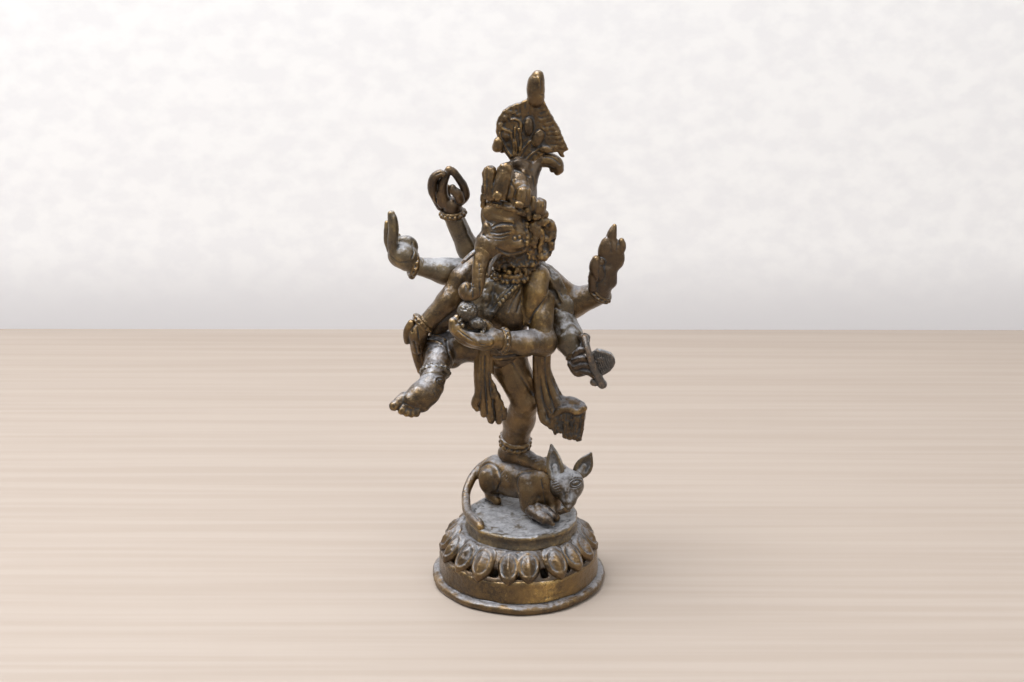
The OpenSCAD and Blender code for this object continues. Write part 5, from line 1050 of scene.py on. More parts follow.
for p, r in (([(-2.6, 7.0, 143.6), (-4.3, 7.0, 146.2), (-5.8, 7.0, 149.0), (-6.2, 7.0, 151.1)], [0.55, 0.6, 0.55, 0.45]), ([(-1.7, 7.0, 143.6), (-1.9, 7.0, 147.2), (-2.4, 7.0, 149.8), (-3.1, 7.0, 151.7)], [0.45, 0.5, 0.5, 0.45]),
             ([(-1.0, 7.0, 143.6), (-1.0, 7.0, 146.9), (-1.4, 7.0, 149.8), (-1.4, 7.0, 152.7)], [0.35, 0.4, 0.4, 0.35]), ([(-0.2, 7.0, 143.6), (0.5, 7.0, 146.9), (0.5, 7.0, 149.5), (-0.1, 7.0, 152.2)], [0.5, 0.6, 0.55, 0.5]),
             ([(0.2, 7.0, 143.6), (1.3, 7.0, 145.9), (3.2, 7.0, 148.3)], [0.4, 0.45, 0.45]), ([(2.1, 7.0, 142.3), (3.7, 7.0, 144.0), (5.8, 7.0, 145.7)], [0.45, 0.5, 0.5]), ([(-2.6, 7.0, 151.1), (-4.5, 7.0, 152.0), (-6.1, 7.0, 153.3)], [0.6, 0.7, 0.6]),
             ([(0.5, 7.0, 151.7), (0.5, 7.0, 154.0), (-0.7, 7.0, 155.4), (-2.6, 7.0, 155.4)], [0.5, 0.6, 0.55, 0.5])):
    s_cf.tube([(a[0], 7.05, a[2]) for a in p], [0.8 * q for q in r], 0.2, 4)
for c, r, t_ in (((3.0, 7.2, 153.1), (1.55, 1.2, 3.0), (0.02, 0, 1)), ((5.9, 7.2, 149.4), (2.0, 1.2, 3.3), (0.45, 0, 1)), ((-4.2, 7.6, 150.3), (1.5, 0.9, 2.2), (-0.3, 0, 1)), ((8.1, 7.3, 145.8), (2.6, 0.9, 1.2), (0.2, 0, 1)), ((-1.5, 7.4, 157.2), (1.5, 0.8, 1.2), (0.3, 0, 1)), ((-4.5, 7.4, 155.8), (1.4, 0.8, 1.2), (-0.3, 0, 1)), ((-5.9, 7.4, 152.9), (1.0, 0.8, 1.6), (0, 0, 1))):
    s_cf.u(ell(c, r, axes(t_)), 0.3)
for p in ([(1.5, 6.0, 151.3), (1.5, 6.0, 155.2), (2.7, 6.0, 156.5), (4.3, 6.0, 155.8), (4.8, 6.0, 152.6), (3.7, 6.0, 150.4)], [(4.0, 6.0, 147.1), (4.6, 6.0, 150.4), (6.2, 6.0, 152.3), (8.1, 6.0, 151.0), (7.8, 6.0, 148.4), (6.2, 6.0, 146.6)]):
    s_cf.tube([(a[0], 7.1, a[2]) for a in p], 0.33, 0.25, 4, "c")
for i in range(9):                                           # scalloped radial ribs along the top
    t = i / 8
    a = V((-3.9, 7.0, 154.6)) * (1 - t) + V((5.8, 7.0, 157.2)) * t + V((0, 0, 0.8 * math.sin(math.pi * t)))
    b = V((-5.4, 7.0, 156.7)) * (1 - t) + V((7.4, 7.0, 160.4)) * t + V((0.2, 0, 1.9 * math.sin(math.pi * t)))
    s_cf.tube([(a[0], 7.6, a[2]), (b[0], 7.6, b[2])], [0.42, 0.62], 0.4, 2)
    m = 0.5 * (a + b) + V((1.35, 0, 0.1))
    s_cf.cut(ball((m[0], 6.95, m[2]), 0.5), 0.25)
for i in range(9):                                           # stepped strips down the right edge
    t = (i + 0.3) / 8.6
    a = V((8.0, 7.0, 159.1)) * (1 - t) + V((14.7, 7.0, 145.9)) * t
    b = V((5.2, 7.0, 157.8)) * (1 - t) + V((9.7, 7.0, 145.6)) * t
    s_cf.tube([(a[0] - 0.6, 7.75, a[2]), (b[0] + (1.2 if i % 2 else 0), 7.7, b[2] + 0.5)], [0.72, 0.5], 0.4, 2)
    if i < 8: s_cf.cut(cone((a[0] + 0.3, 7.05, a[2] - 1.0), (b[0] + 0.8, 7.0, b[2] - 0.6), 0.30 + 0.06 * (i > 4), 0.14), 0.2)
for i in range(8):                                           # plain folds on the back
    t = i / 7; ang = math.radians(150 - 120 * t)
    s_cf.tube([(-0.2, 9.35, 142.5), (0.6 + 9.5 * math.cos(ang), 9.35, 145 + 12 * math.sin(ang))], [0.3, 0.5], 0.3, 3, "c")
s_cf.tube([(12.9, 8.0, 145.0), (13.5, 8.0, 143.7), (13.9, 8.0, 143.4)], [0.9, 0.7, 0.5], 0.3, 3)
s_cf.u(ell((-5.7, 8.2, 146.9), (1.5, 1.0, 2.8), axes((-0.2, 0, 1))), 0.5)
make("crest_fan_cast", s_cf, ["crest_fan"], "antique_brass", rough=0.14, grain=0.05, seed=50, dust=lambda v, n: 0.02 + 0.55 * np.clip((6.98 - v[:, 1]) / 0.2, 0, 1) * (v[:, 0] < 3.4) * (v[:, 2] < 151), wear_and_painted_light=-0.06, tone_and_shade=0.0, extra=lambda v, n: 0.16 * noise(v, 1.7, 96) + 0.10 * noise(v, 0.8, 97))

s_fi = Sculpt(0.2)
s_fi.limb([(5.2, 8.0, 161.7), (5.2, 8.0, 164.6), (5.4, 8.0, 167.5), (5.8, 8.0, 169.2)], [2.55, 2.5, 2.2, 1.75], 1.2)
s_fi.u(ell((3.6, 8.0, 165.2), (1.2, 1.6, 3.2)), 1.0)
s_fi.u(torus((5.2, 8.0, 162.4), (0, 0.3, 1), 2.2, 0.55, 1.3), 0.3)
s_fi.groove([(5.5, 6.0, 163.7), (6.4, 6.0, 163.8), (7.4, 6.0, 163.5)], 0.2, 0.25)
s_fi.ridge([(5.9, 6.0, 168.8), (6.0, 6.0, 165.7)], 0.45, 0.5)
s_fi.groove([(6.7, 6.0, 168.2), (6.7, 6.0, 164.4)], 0.22, 0.3)
s_fi.trim(s_cf, gap=0.6, k=0.6)
make("crest_finial_cast", s_fi, ["crest_finial"], "antique_brass", rough=0.09, grain=0.03, seed=51)

s_cu = Sculpt(0.2)
s_cu.limb([(-6.9, 7.8, 146.3), (-6.6, 7.8, 148.1)], [1.75, 1.5], 0.6)
s_cu.tube([(3.7, 9.2, 139.2), (5.6, 9.4, 140.9), (7.5, 9.4, 141.7), (9.7, 9.4, 141.6), (11.7, 9.2, 140.5), (12.6, 9.0, 138.9)], [1.5, 1.9, 2.3, 2.45, 2.3, 1.6], 0.6, 5)
s_cu.u(ball((10.5, 8.8, 138.8), 1.05), 0.3); s_cu.u(ball((12.1, 8.8, 138.0), 1.15), 0.3)
s_cu.groove([(8.1, 7.0, 143.5), (10.6, 7.0, 142.9), (12.9, 7.0, 140.9)], 0.25, 0.4)
s_cu.groove([(6.9, 7.0, 140.7), (9.1, 7.0, 140.3), (11.3, 7.0, 139.4)], 0.22, 0.4)
s_cu.trim(s_cf, gap=0.5, k=0.4)
make("crest_curls_cast", s_cu, ["crest_curls"], "antique_brass", rough=0.09, grain=0.03, seed=52, wear_and_painted_light=0.05)

# ------------------------------------------------------------------ arms
s_rb = Sculpt(0.28)
s_rb.limb([(-13, 9, 105.5), (-4, 9.5, 103.5), (8, 8.6, 101.5), (14.6, 8, 94), (14, 6.5, 90)], [4.2, 4.6, 4.6, 4.9, 4.2], 2.0)
s_rb.limb([(6.7, 5.0, 107.2), (10.6, 5.0, 103.2), (13.2, 6.0, 99.5)], [2.6, 2.4, 2.2], 1.0)
s_rb.ridge([(7.6, 3.0, 107.8), (10.2, 3.0, 103.8), (12.2, 3.0, 100.1), (13.8, 2.0, 96.7)], 0.5, 0.4)
s_rb.ridge([(9.6, 3.0, 99.8), (11.9, 2.0, 96.0), (14.1, 2.0, 92.3), (15.8, 2.0, 90.2)], 0.45, 0.4)
s_rb.groove([(10.6, 2.0, 98.7), (12.5, 2.0, 94.3), (15.1, 2.0, 90.6)], 0.35, 0.4)
s_rb.groove([(9.6, 1.0, 90.2), (12.8, 1.0, 90.2), (15.7, 1.0, 90.9)], 0.3, 0.3)
s_rb.u(ell(on(s_rb, (12.5, 1.0, 93.7), 0.6), (1.8, 1.2, 1.4)), 0.4)
s_rb.trim(s_tor, gap=0.6)
make("rear_arm_block_cast", s_rb, ["rear_arm_block"], "dusty_brass", rough=0.16, grain=0.05, seed=61, dust=0.06, extra=lambda v, n: 0.14 * noise(v, 1.3, 62) + 0.08 * noise(v, 0.7, 63))

s_fra = Sculpt(0.25)
s_fra.limb([(-14.5, 3, 108.5), (-18.3, 0.5, 105.3), (-22.3, -1.5, 98.5), (-29.5, -3, 91.5)], [3.9, 3.3, 3.5, 2.8], 2.0)
s_fra.limb([(-17.0, 2.0, 99.7), (-20.3, 1.6, 94.8), (-23.9, 1.4, 90.8), (-26.8, 1.6, 86.9)], [2.4, 3.2, 3.2, 2.4], 0.8)
s_fra.trim(s_tor, gap=0.6, k=1.2)
_fa, _fb = V((-16.7, 0.0, 101.1)), V((-26.7, 0.0, 90.5))
# Painted shade: below() marks the arm's underside, beneath the line from shoulder to wrist, which gets a much darker
# tone, less gold and less dust.
def below(v): return np.clip(((v[:, 0] - _fa[0]) * (_fa[2] - _fb[2]) - (v[:, 2] - _fa[2]) * (_fa[0] - _fb[0])) / float(np.hypot(_fa[0] - _fb[0], _fa[2] - _fb[2])) / 0.8, 0, 1)
make("front_right_arm_cast", s_fra, ["front_right_arm"], "antique_brass", rough=0.12, grain=0.03, seed=64, wear_and_painted_light=lambda v, n: 0.02 - 0.3 * below(v), tone_and_shade=lambda v, n: -0.1 - 1.6 * below(v), dust=lambda v, n: -0.2 * below(v))

s_frh = Sculpt(0.2)
s_frh.limb([(-29.5, -3, 91.5), (-32.6, -2.8, 87.8), (-32.6, -1.4, 82.6)], [2.6, 3.1, 2.5], 1.0)
for i in range(4):
    s_frh.tube([V((-34.0 + 1.5 * i, -2.6 + 1.2 * i, 84.5)), V((-33.4 + 1.3 * i, -0.8 + 0.9 * i, 79.5)), V((-32.2 + 1.0 * i, 0.9 + 0.8 * i, 73.2 + 0.5 * i))], [1.25, 1.2, 0.95], 0.25, 4)
s_frh.tube([(-34.5, -4.0, 91.6), (-35.7, -4.0, 89.2), (-36.0, -3.6, 86.7), (-36.0, -3.0, 84.8)], [1.2, 1.2, 1.1, 0.9], 0.35, 4)
s_frh.groove([(-34.2, -4.0, 89.2), (-33.4, -3.0, 83.8), (-32.3, -2.0, 77.6)], 0.28, 0.25)
s_frh.groove([(-32.6, -4.0, 89.9), (-32.1, -3.0, 85.5), (-31.6, -2.0, 81.0)], 0.25, 0.25)
s_frh.trim(s_fra, gap=0.5, k=0.6)
make("front_right_hand_cast", s_frh, ["front_right_hand"], "antique_brass", rough=0.09, grain=0.03, seed=65)

s_flu = Sculpt(0.24)
s_flu.limb([(5.7, 1.4, 105.3), (5.1, -1.0, 101.1), (3.8, -2.2, 96.8), (2.5, -2.6, 92.2)], [4.2, 3.9, 2.9, 1.7], 1.6)
s_flu.limb([(8.3, 1.0, 97.7), (7.0, -2.4, 92.8), (7.0, -4.2, 86.6), (7.0, -4.4, 84.7)], [3.3, 3.7, 4.0, 4.2], 1.4)
s_flu.groove([(9.5, -2.0, 102.8), (8.6, -3.0, 100.1), (6.7, -4.0, 97.7), (4.7, -5.0, 95.4), (3.2, -5.0, 92.3)], 0.42, 0.25)
s_flu.groove([(1.9, -2.0, 105.4), (2.8, -1.0, 107.8), (5.0, 0.0, 108.8)], 0.3, 0.5)
s_flu.trim(s_tor, gap=0.6, k=1.0)
make("front_left_upper_arm_cast", s_flu, ["front_left_upper_arm"], "worn_brass", rough=0.09, grain=0.03, seed=66, wear_and_painted_light=0.08)

s_flf = Sculpt(0.24)
s_flf.limb([(7.8, -4.8, 85.4), (2, -8.5, 86.5), (-4.2, -11.2, 88)], [4.15, 3.85, 3.2], 1.5)
s_flf.u(ell((9.0, -4.4, 85.2), (3.2, 3.6, 4.2)), 1.0)
s_flf.trim(s_flu, gap=0.6, k=1.0)
make("front_left_forearm_cast", s_flf, ["front_left_forearm"], "worn_brass", rough=0.08, grain=0.025, seed=67, dust=0.24, wear_and_painted_light=0.05)

s_flh = Sculpt(0.18)
s_flh.limb([(-4.2, -11.2, 88), (-8.0, -12.6, 89.6)], [3.0, 3.0], 0.8)
s_flh.u(ell((-14.2, -13.4, 90.2), (6.6, 4.4, 3.5), axes((0.22, 0.1, 1))), 1.2)
s_flh.u(ell((-10.4, -12.6, 88.6), (3.6, 3.4, 3.2)), 1.2)
s_flh.tube([(-9.4, -16.0, 89.5), (-12.2, -17.0, 89.7), (-15.4, -17.0, 90.8), (-18.2, -16.6, 92.7), (-19.4, -16.0, 94.2)], [1.4, 1.5, 1.45, 1.35, 1.2], 0.5, 5)    # heel and near edge
s_flh.cut(ell(V((-14.5, -13.4, 93.9)), (5.2, 3.2, 2.0), axes((0.18, 0.1, 1))), 0.7)
for i, (a, m, b) in enumerate((((-17.6, -16.0, 91.5), (-20.1, -16.0, 93.5), (-20.6, -15.4, 95.9)), ((-17.9, -14.4, 92.6), (-19.8, -14.6, 94.7), (-19.6, -14.0, 96.8)), ((-17.4, -12.4, 92.9), (-18.6, -12.4, 94.9), (-18.6, -12.0, 96.4)), ((-18.6, -14.6, 91.0), (-20.6, -15.2, 93.5), (-20.9, -15.0, 96.1)))):
    s_flh.tube([a, m, b], [1.5, 1.45, 1.1], 0.4, 4)
s_flh.tube([(-8.6, -11.0, 90.4), (-9.8, -11.4, 93.2), (-11.1, -11.6, 94.6)], [1.8, 1.5, 1.0], 0.6, 4)                                        # thumb
s_flh.u(ell((-16.4, -11.0, 93.1), (4.2, 2.2, 3.0)), 0.6)
s_flh.u(ell((-13.6, -10.6, 91.6), (3.2, 2.2, 2.6)), 0.6)
s_flh.groove([(-18.8, -17.0, 92.2), (-16.3, -18.0, 90.5), (-13.5, -18.0, 89.5), (-10.4, -17.0, 88.9)], 0.22, 0.25)
for i in range(3):
    s_flh.groove([tuple(V((-19.1, -17.0, 93.8)) + V((1.4 * i, 0, -1.15 * i))), tuple(V((-17.6, -17.0, 92.5)) + V((1.6 * i, 0, -1.2 * i)))], 0.2, 0.15, 2)
s_flh.trim(s_flf, gap=0.5, k=0.6)
make("front_left_hand_cast", s_flh, ["front_left_hand"], "worn_brass", rough=0.07, grain=0.03, seed=68, dust=0.14, wear_and_painted_light=-0.02)

s_sw = Sculpt(0.18)
s_sw.u(ball((-16.2, -12.6, 98.5), 3.35), 0.2)
for i in range(7):
    s_sw.groove([(-17.5, -15.0, 101.8), (-16.9, -16.0, 99.8), (-17.3, -15.0, 97.1)] if i == 0 else [tuple(V((-17.5, -15.0, 101.8)) + V((0.35 * i, 0, 0.05 * i))), tuple(V((-16.9, -16.0, 99.8)) + V((0.42 * i, 0, 0))), tuple(V((-17.3, -15.0, 97.1)) + V((0.36 * i, 0, 0)))], 0.1, 0.12, 3)
s_sw.u(ell((-13.4, -13.6, 94.9), (2.9, 2.2, 1.9), axes((0.1, 0.1, 1))), 0.3)
s_sw.u(ell((-11.6, -13.2, 94.2), (1.6, 1.5, 1.3)), 0.3)
for c, r in (((-18.5, -15.0, 95.8), 0.95), ((-17.6, -15.8, 94.8), 0.8), ((-19.5, -16.0, 93.2), 0.8), ((-11.6, -15.0, 92.1), 0.9), ((-11.0, -14.0, 93.1), 0.75), ((-16.7, -15.0, 92.8), 0.7)):
    s_sw.u(ball(c, r), 0.15)
make("sweets_cast", s_sw, ["sweets"], "dusty_brass", rough=0.12, grain=0.05, seed=69, dust=0.0, wear_and_painted_light=-0.25, tone_and_shade=-0.5, extra=lambda v, n: 0.20 * noise(v, 0.7, 70))

s_ura = Sculpt(0.25)
s_ura.limb([(-13.5, 8.5, 106), (-16.5, 9.5, 112.5), (-21, 8.5, 123.3)], [3.9, 3.5, 3.1], 1.8)
s_ura.ridge([(-18.5, 5.0, 122.5), (-16.4, 5.0, 117.2), (-15.1, 5.0, 114.2)], 0.6, 1.2)
make("upper_right_arm_cast", s_ura, ["upper_right_arm"], "dusty_brass", rough=0.10, grain=0.03, seed=71, dust=-0.05)

s_urh = Sculpt(0.18)
s_urh.limb([(-21, 8.5, 123.3), (-21.3, 7.8, 127.2)], [2.8, 3.0], 0.8)
s_urh.tube([(-19.5, 7.6, 128.1), (-17.4, 7.4, 130.4), (-17.6, 7.2, 133.4), (-19.1, 7.0, 136.1), (-20.8, 6.6, 138.5), (-22.1, 6.4, 139.4)], [1.6, 1.6, 1.4, 1.3, 1.25, 1.15], 0.35, 5)
s_urh.tube([(-23.3, 7.0, 128.2), (-24.4, 6.6, 131.3), (-24.2, 6.2, 134.7), (-23.2, 6.2, 137.5), (-22.4, 6.3, 139.1)], [1.7, 1.75, 1.55, 1.35, 1.15], 0.35, 5)
s_urh.tube([(-24.3, 7.6, 128.1), (-26.6, 7.0, 130.9), (-27.5, 6.0, 133.8), (-27.1, 5.0, 136.8), (-25.3, 4.6, 138.5), (-24.1, 4.6, 138.4)], [1.8, 1.8, 1.6, 1.45, 1.3, 1.1], 0.3, 5)
s_urh.tube([(-25.0, 9.0, 126.7), (-26.6, 9.0, 129.7), (-27.1, 8.6, 132.4), (-26.4, 8.0, 135.2), (-24.8, 7.6, 136.3)], [1.6, 1.6, 1.5, 1.35, 1.1], 0.3, 5)
s_urh.tube([(-25.6, 9.6, 128.5), (-26.4, 9.6, 131.1), (-25.9, 9.2, 133.2)], [1.5, 1.4, 1.2], 0.3, 4)
s_urh.tube([(-18.8, 5.4, 129.7), (-19.5, 4.8, 131.8), (-20.8, 4.6, 133.1), (-21.1, 4.6, 134.0)], [1.5, 1.6, 1.45, 1.1], 0.35, 4)
s_urh.tube([(-23.1, 8.6, 128.8), (-23.0, 8.8, 131.4), (-22.8, 8.8, 133.1)], [1.3, 1.15, 0.8], 0.3, 4)
s_urh.groove([(-26.2, 3.0, 138.5), (-24.6, 3.0, 139.3), (-23.5, 3.0, 138.8)], 0.2, 0.15)
s_urh.groove([(-25.9, 5.0, 127.8), (-26.4, 4.6, 131.2), (-25.8, 4.0, 135.3)], 0.3, 0.2)
s_urh.trim(s_ura, gap=0.5, k=0.6)
make("upper_right_hand_cast", s_urh, ["upper_right_hand"], "dark_brass", rough=0.08, grain=0.03, seed=72, wear_and_painted_light=0.08)

s_lra = Sculpt(0.25)
s_lra.limb([(-13.5, 8.5, 106), (-23.8, 6.5, 105.6), (-32, 4.5, 107.8)], [3.9, 4.1, 2.9], 1.8)
make("lower_right_arm_cast", s_lra, ["lower_right_arm"], "dusty_brass", rough=0.10, grain=0.03, seed=73, dust=0.04)

s_lrh = Sculpt(0.18)
s_lrh.limb([(-32, 4.5, 107.8), (-35.6, 3.6, 109.6)], [2.7, 3.1], 0.8)
s_lrh.u(ell((-37.1, 3.4, 111.7), (5.0, 3.6, 4.2), axes((0.25, 0, 1))), 0.8)
s_lrh.u(ell((-36.2, 5.2, 114.1), (3.9, 2.4, 4.0), axes((0.3, 0, 1))), 0.8)
s_lrh.cut(ell((-38.0, -1.2, 116.1), (2.2, 1.4, 2.0), axes((0.3, 0.5, 1))), 1.0)
s_lrh.tube([(-39.7, 2.4, 112.0), (-40.3, 2.0, 116.1), (-39.9, 2.0, 120.8), (-40.1, 2.2, 124.0), (-40.5, 2.4, 125.9)], [1.8, 1.7, 1.75, 1.6, 1.2], 0.4, 5)
s_lrh.tube([(-41.0, 4.4, 113.4), (-42.1, 4.6, 116.7), (-42.1, 4.8, 119.9), (-42.0, 5.0, 122.2)], [1.4, 1.2, 1.1, 0.9], 0.3, 4)
s_lrh.tube([(-38.5, 5.4, 112.4), (-39.0, 6.0, 115.2), (-38.8, 6.4, 117.4)], [1.4, 1.2, 1.0], 0.35, 4)
s_lrh.groove([(-34.1, 3.0, 116.2), (-33.5, 2.0, 113.8), (-34.1, 1.0, 111.8)], 0.25, 0.3)
s_lrh.groove([(-40.7, 0.0, 112.7), (-38.5, -1.0, 111.1), (-35.6, -1.0, 111.1)], 0.2, 0.4)
s_lrh.trim(s_lra, gap=0.5, k=0.6)
make("lower_right_hand_cast", s_lrh, ["lower_right_hand"], "dusty_brass", rough=0.08, grain=0.03, seed=74, dust=-0.02, wear_and_painted_light=0.04)

s_ula = Sculpt(0.25)
s_ula.limb([(8, 8, 103.5), (17, 9, 94), (25.6, 6.6, 98)], [4.2, 4.9, 3.7], 1.6)
s_ula.trim(s_rb, gap=0.6)
make("upper_left_arm_cast", s_ula, ["upper_left_arm"], "antique_brass", rough=0.10, grain=0.03, seed=75)

s_ulh = Sculpt(0.18)
s_ulh.limb([(26.1, 6.2, 98.7), (27.0, 5.6, 102.3), (27.6, 5.2, 106.5)], [3.4, 3.3, 2.9], 1.0)
s_ulh.limb([(29.6, 5.4, 102.4), (29.2, 5.2, 107.2)], [2.0, 2.2], 0.8)
s_ulh.u(ell((28.2, 5.2, 112.5), (3.1, 2.0, 5.4), axes((0.08, 0, 1))), 0.9)
s_ulh.u(ell((30.6, 5.4, 112.1), (3.1, 2.0, 5.4), axes((-0.24, 0, 1))), 0.9)
s_ulh.u(ell((29.4, 5.2, 109.2), (3.2, 2.0, 4.0)), 0.9)
s_ulh.tube([(29.2, 5.8, 115.0), (29.6, 5.8, 118.4), (30.4, 5.8, 121.0)], [1.9, 1.6, 0.75], 0.3, 4)
s_ulh.tube([(31.9, 5.0, 111.9), (32.9, 5.0, 114.3), (32.7, 5.0, 116.3)], [1.3, 1.35, 1.0], 0.3, 4)
s_ulh.groove([(29.1, 3.0, 116.5), (29.2, 2.6, 115.0), (29.3, 2.4, 113.4)], 0.16, 0.4)
s_ulh.groove([(31.3, 3.0, 116.2), (31.0, 2.6, 114.0)], 0.14, 0.3)
s_ulh.tube([(25.3, 3.0, 105.2), (24.2, 2.6, 108.3), (24.6, 2.6, 110.8)], [1.9, 1.9, 1.4], 0.35, 4)
s_ulh.u(ball((26.0, 3.0, 109.9), 1.35), 0.4)
s_ulh.tube([(26.2, 2.6, 106.0), (25.8, 2.6, 108.0)], [1.2, 1.2], 0.3, 3)
for i, q in enumerate(((23.1, 3.4, 106.0), (22.8, 3.4, 104.7), (22.7, 3.4, 103.4))):
    s_ulh.u(ball(q, 0.72), 0.15)
s_ulh.tube([(23.8, 4.0, 100.8), (23.6, 3.2, 103.8), (23.9, 3.0, 106.9)], [1.7, 1.5, 1.2], 0.4, 4)
s_ulh.groove([(24.9, 2.0, 102.1), (25.5, 1.6, 105.3), (25.4, 1.6, 107.6)], 0.25, 0.2)
s_ulh.groove([(27.5, 2.0, 102.8), (27.6, 2.0, 106.2), (26.9, 2.0, 109.2)], 0.2, 0.3)
s_ulh.trim(s_ula, gap=0.5, k=0.5)
make("upper_left_hand_cast", s_ulh, ["upper_left_hand"], "dark_brass", rough=0.08, grain=0.03, seed=76, wear_and_painted_light=0.10, tone_and_shade=0.15)

s_lla = Sculpt(0.25)
s_lla.limb([(13.5, 6, 91), (15.8, 2, 84.6), (18, -0.8, 80)], [4.4, 4.7, 3.3], 1.8)
s_lla.ridge([(14.1, 0.0, 87.9), (17.0, 0.0, 89.6), (19.6, 0.0, 86.9)], 0.4, 0.8)
s_lla.trim(s_rb, gap=0.6)
make("lower_left_arm_cast", s_lla, ["lower_left_arm"], "dusty_brass", rough=0.12, grain=0.04, seed=77, dust=0.10)

s_axe = Sculpt(0.18)
s_axe.tube([(21.0, -4.0, 86.6), (21.8, -6.6, 84.1), (22.9, -7.4, 80.7), (24.4, -6.4, 76.5), (26.8, -5.0, 71.0)], [1.2, 1.15, 1.15, 1.3, 1.4], 0.3, 4)
s_axe.u(ell((21.0, -2.4, 86.2), (1.9, 1.6, 1.5)), 0.3)
s_axe.u(ell((26.8, -5.0, 71.2), (1.5, 1.45, 1.5)), 0.4)
s_axe.u(ell((24.4, -4.6, 71.7), (1.6, 1.5, 1.4)), 0.4)
a, b = V((24.2, -4.0, 80.1)), V((30.3, -5.2, 79.4))
M = axes(unit(b - a), (0, -1, 0))
blade = [(23.4, -4.0, 81.8), (25.0, -4.3, 83.1), (26.9, -4.6, 82.7), (29.5, -5.0, 81.7), (30.6, -5.2, 80.3), (30.9, -5.2, 78.8), (30.4, -5.0, 77.3), (29.4, -4.9, 75.9), (27.9, -4.8, 74.8), (26.1, -4.5, 74.1), (24.5, -4.2, 75.0), (23.8, -4.0, 78.4)]
s_axe.u(plate([(p[0], p[2]) for p in blade], (0, -4.7, 0), np.eye(3), 1.35, 0.5), 0.3)
s_axe.u(ell((26.3, -4.8, 79.0), (3.0, 1.7, 3.4)), 0.8)
for i in range(9):
    t = i / 8
    q0 = V((24.0, -5.6, 82.4)) * (1 - t) + V((29.4, -6.2, 81.3)) * t
    q1 = V((25.7, -5.6, 74.5)) * (1 - t) + V((30.6, -6.2, 78.9)) * t
    s_axe.tube([(q0[0], -6.05, q0[2]), (0.5 * (q0[0] + q1[0]) - 0.3, -6.15, 0.5 * (q0[2] + q1[2])), (q1[0], -6.05, q1[2])], 0.2, 0.12, 3, "c")
    if i % 2 == 0: s_axe.tube([(q0[0] + 0.5, -3.45, q0[2]), (q1[0] + 0.5, -3.45, q1[2])], 0.22, 0.15, 3, "c")
_ra, _rb = V((21.4, -4.0, 85.6)), V((27.1, -4.0, 70.1))
def rod(v):
    t = np.clip((v[:, 2] - _ra[2]) / (_rb[2] - _ra[2]), 0, 1); return np.clip((_ra[0] + t * (_rb[0] - _ra[0]) + 1.3 - v[:, 0]) / 0.6, 0, 1)
make("axe_cast", s_axe, ["axe"], "pale_brass", rough=0.08, grain=0.05, seed=78, tone_and_shade=-0.35, dust=lambda v, n: -0.25 - 0.3 * rod(v), wear_and_painted_light=lambda v, n: -0.08 + 0.16 * rod(v))

s_llh = Sculpt(0.18)
s_llh.limb([(18, -0.8, 80), (19.3, -2.6, 77.2)], [2.9, 2.6], 0.8)
for a, m, b in (((18.0, -4.0, 80.8), (19.8, -5.4, 83.0), (22.1, -5.0, 82.2)), ((17.7, -4.2, 78.8), (20.2, -5.8, 80.4), (22.8, -5.2, 79.5)), ((18.3, -4.2, 76.7), (20.9, -5.6, 78.0), (23.4, -5.4, 76.9)), ((19.6, -4.0, 75.3), (22.2, -5.2, 75.4), (24.1, -5.2, 74.0))):
    s_llh.tube([a, m, b], [1.1, 1.12, 0.85], 0.22, 4)
s_llh.tube([(17.1, -2.6, 77.2), (18.7, -3.4, 74.7), (20.9, -3.8, 74.7)], [1.6, 1.5, 1.1], 0.4, 4)
s_llh.tube([(19.6, -1.6, 80.9), (21.2, -2.0, 83.5), (21.8, -2.4, 85.3)], [1.4, 1.3, 1.0], 0.35, 4)
s_llh.trim(s_lla, gap=0.5, k=0.5)
make("lower_left_hand_cast", s_llh, ["lower_left_hand"], "dark_brass", rough=0.08, grain=0.04, seed=79, dust=0.62, wear_and_painted_light=0.0)

s_br = Sculpt(0.18)
def bracelet(c, n, R, r, count, br, two=True):
    n = unit(n)
    s_br.u(torus(V(c) - 0.45 * n, n, R, r * 0.85, 0.9), 0.2)
    if two: s_br.u(torus(V(c) + 0.75 * n, n, R * 0.97, r * 0.6, 0.9), 0.2)
    beads(s_br, V(c) - 0.1 * n, n, R + r * 0.45, count, br, 0.12)
bracelet((-30.9, -3.0, 91.2), (-7.2, -1.5, -7), 3.15, 0.85, 14, 0.6)
bracelet((-5.0, -11.5, 88.3), (-6.2, -2.7, 1.5), 3.35, 1.0, 12, 0.7)
bracelet((-21.2, 8.4, 124.5), (-0.4, -1, 5), 3.35, 0.9, 14, 0.8)
bracelet((-33.9, 4.4, 108.2), (-8.2, -2, 2.2), 3.3, 0.95, 12, 0.8)
bracelet((26.1, 6.5, 98.6), (4, -2, 5), 3.75, 0.9, 15, 0.6)
bracelet((18.4, -1.6, 79.6), (2.2, -2.8, -4.6), 2.95, 0.6, 11, 0.45, False)
make("bracelets_cast", s_br, ["bracelets"], "worn_brass", rough=0.06, grain=0.04, seed=80, dust=0.06, wear_and_painted_light=-0.36)

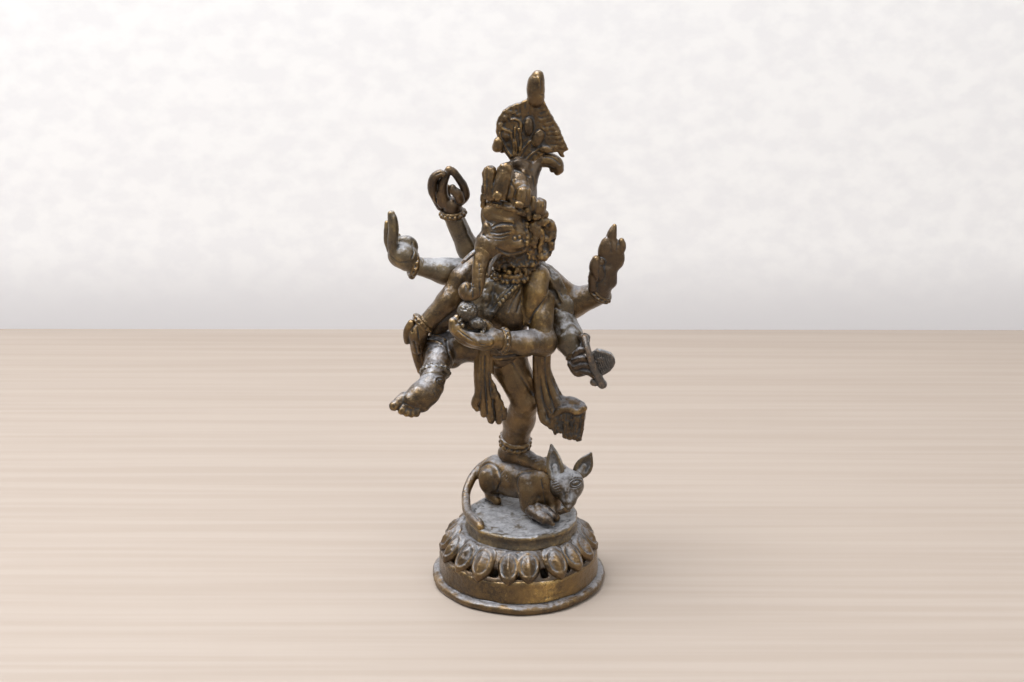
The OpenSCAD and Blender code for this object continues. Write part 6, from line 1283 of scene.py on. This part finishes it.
# ------------------------------------------------------------------ floor, wall, light, camera
def plain(name, lo, hi, rough, scale, base=None):
    """Two close colours mixed by soft noise; base paints shade on the lowest strip of a wall, darkest at the floor."""
    m = bpy.data.materials.new(name); m.use_nodes = True
    nt = m.node_tree; b = nt.nodes["Principled BSDF"]
    b.inputs["Roughness"].default_value = rough
    tc = nt.nodes.new("ShaderNodeTexCoord"); mp = nt.nodes.new("ShaderNodeMapping"); nz = nt.nodes.new("ShaderNodeTexNoise")
    mp.inputs["Scale"].default_value = scale
    nt.links.new(tc.outputs["Object"], mp.inputs["Vector"]); nt.links.new(mp.outputs[0], nz.inputs["Vector"])
    nz.inputs["Scale"].default_value = 1.0; nz.inputs["Detail"].default_value = 3
    st = nt.nodes.new("ShaderNodeMapRange"); st.inputs["From Min"].default_value = 0.38; st.inputs["From Max"].default_value = 0.62
    nt.links.new(nz.outputs["Fac"], st.inputs["Value"])
    mx = nt.nodes.new("ShaderNodeMix"); mx.data_type = "RGBA"
    nt.links.new(st.outputs["Result"], mx.inputs[0])
    mx.inputs[6].default_value = (*lo, 1); mx.inputs[7].default_value = (*hi, 1)
    out = mx.outputs[2]
    # painted shade along the foot of the wall
    if base:
        sp = nt.nodes.new("ShaderNodeSeparateXYZ"); nt.links.new(tc.outputs["Object"], sp.inputs[0])
        mr = nt.nodes.new("ShaderNodeMapRange"); mr.interpolation_type = "SMOOTHSTEP"
        mr.inputs["From Min"].default_value = 0.0; mr.inputs["From Max"].default_value = 0.045
        nt.links.new(sp.outputs["Z"], mr.inputs["Value"])
        m2 = nt.nodes.new("ShaderNodeMix"); m2.data_type = "RGBA"
        nt.links.new(mr.outputs["Result"], m2.inputs[0]); m2.inputs[6].default_value = (*base, 1)
        nt.links.new(out, m2.inputs[7]); out = m2.outputs[2]
    nt.links.new(out, b.inputs["Base Color"])
    return m

def quad(name, pts, mat):
    me = bpy.data.meshes.new(name); me.from_pydata(pts, [], [(0, 1, 2, 3)]); me.update()
    ob = bpy.data.objects.new(name, me); bpy.context.scene.collection.objects.link(ob)
    ob.data.materials.append(mat); return ob
quad("floor", [(-2.5, -1.6, 0), (2.5, -1.6, 0), (2.5, 0.2495, 0), (-2.5, 0.2495, 0)], plain("floor_pale", (0.315, 0.258, 0.213), (0.342, 0.284, 0.238), 0.7, (5, 220, 5)))
quad("wall", [(-2.5, 0.2495, 0), (2.5, 0.2495, 0), (2.5, 0.2495, 1.9), (-2.5, 0.2495, 1.9)], plain("wall_pale", (0.82, 0.815, 0.82), (0.87, 0.865, 0.86), 0.9, (95, 95, 130), base=(0.66, 0.65, 0.66)))

def area(name, loc, target, size, power, col):
    l = bpy.data.lights.new(name, "AREA"); l.shape = "DISK"; l.size = size; l.energy = power; l.color = col
    ob = bpy.data.objects.new(name, l); bpy.context.scene.collection.objects.link(ob)
    ob.location = loc
    import mathutils
    ob.rotation_euler = (mathutils.Vector(target) - mathutils.Vector(loc)).to_track_quat("-Z", "Y").to_euler()
    return ob
area("key", (-0.45, -0.05, 1.05), (0, 0, 0.08), 0.7, 17.0, (0.93, 0.96, 1.0))
area("fill", (0.75, -0.9, 0.75), (0, 0, 0.08), 0.8, 3.2, (1.0, 0.97, 0.93))
area("wall_wash", (0, -0.15, 1.3), (0, 0.22, 0.35), 1.2, 7.5, (1, 1, 1))
w = bpy.data.worlds.new("sky"); bpy.context.scene.world = w; w.use_nodes = True
bg = w.node_tree.nodes["Background"]; bg.inputs[0].default_value = (0.93, 0.96, 1.0, 1); bg.inputs[1].default_value = 0.52

cam = bpy.data.cameras.new("photo_view"); co = bpy.data.objects.new("photo_view", cam)
bpy.context.scene.collection.objects.link(co); bpy.context.scene.camera = co
cam.lens = 70; cam.sensor_width = 36; cam.clip_start = 0.02; cam.clip_end = 20
co.location = (0, -0.6043, 0.3013); co.rotation_euler = (math.radians(70.23), 0, math.radians(0.216))
bpy.context.scene.view_settings.view_transform = "Standard"
bpy.context.scene.view_settings.look = "None"

print("FACES", sum(n for _, n in STATS), sorted(STATS, key=lambda t: -t[1])[:8])
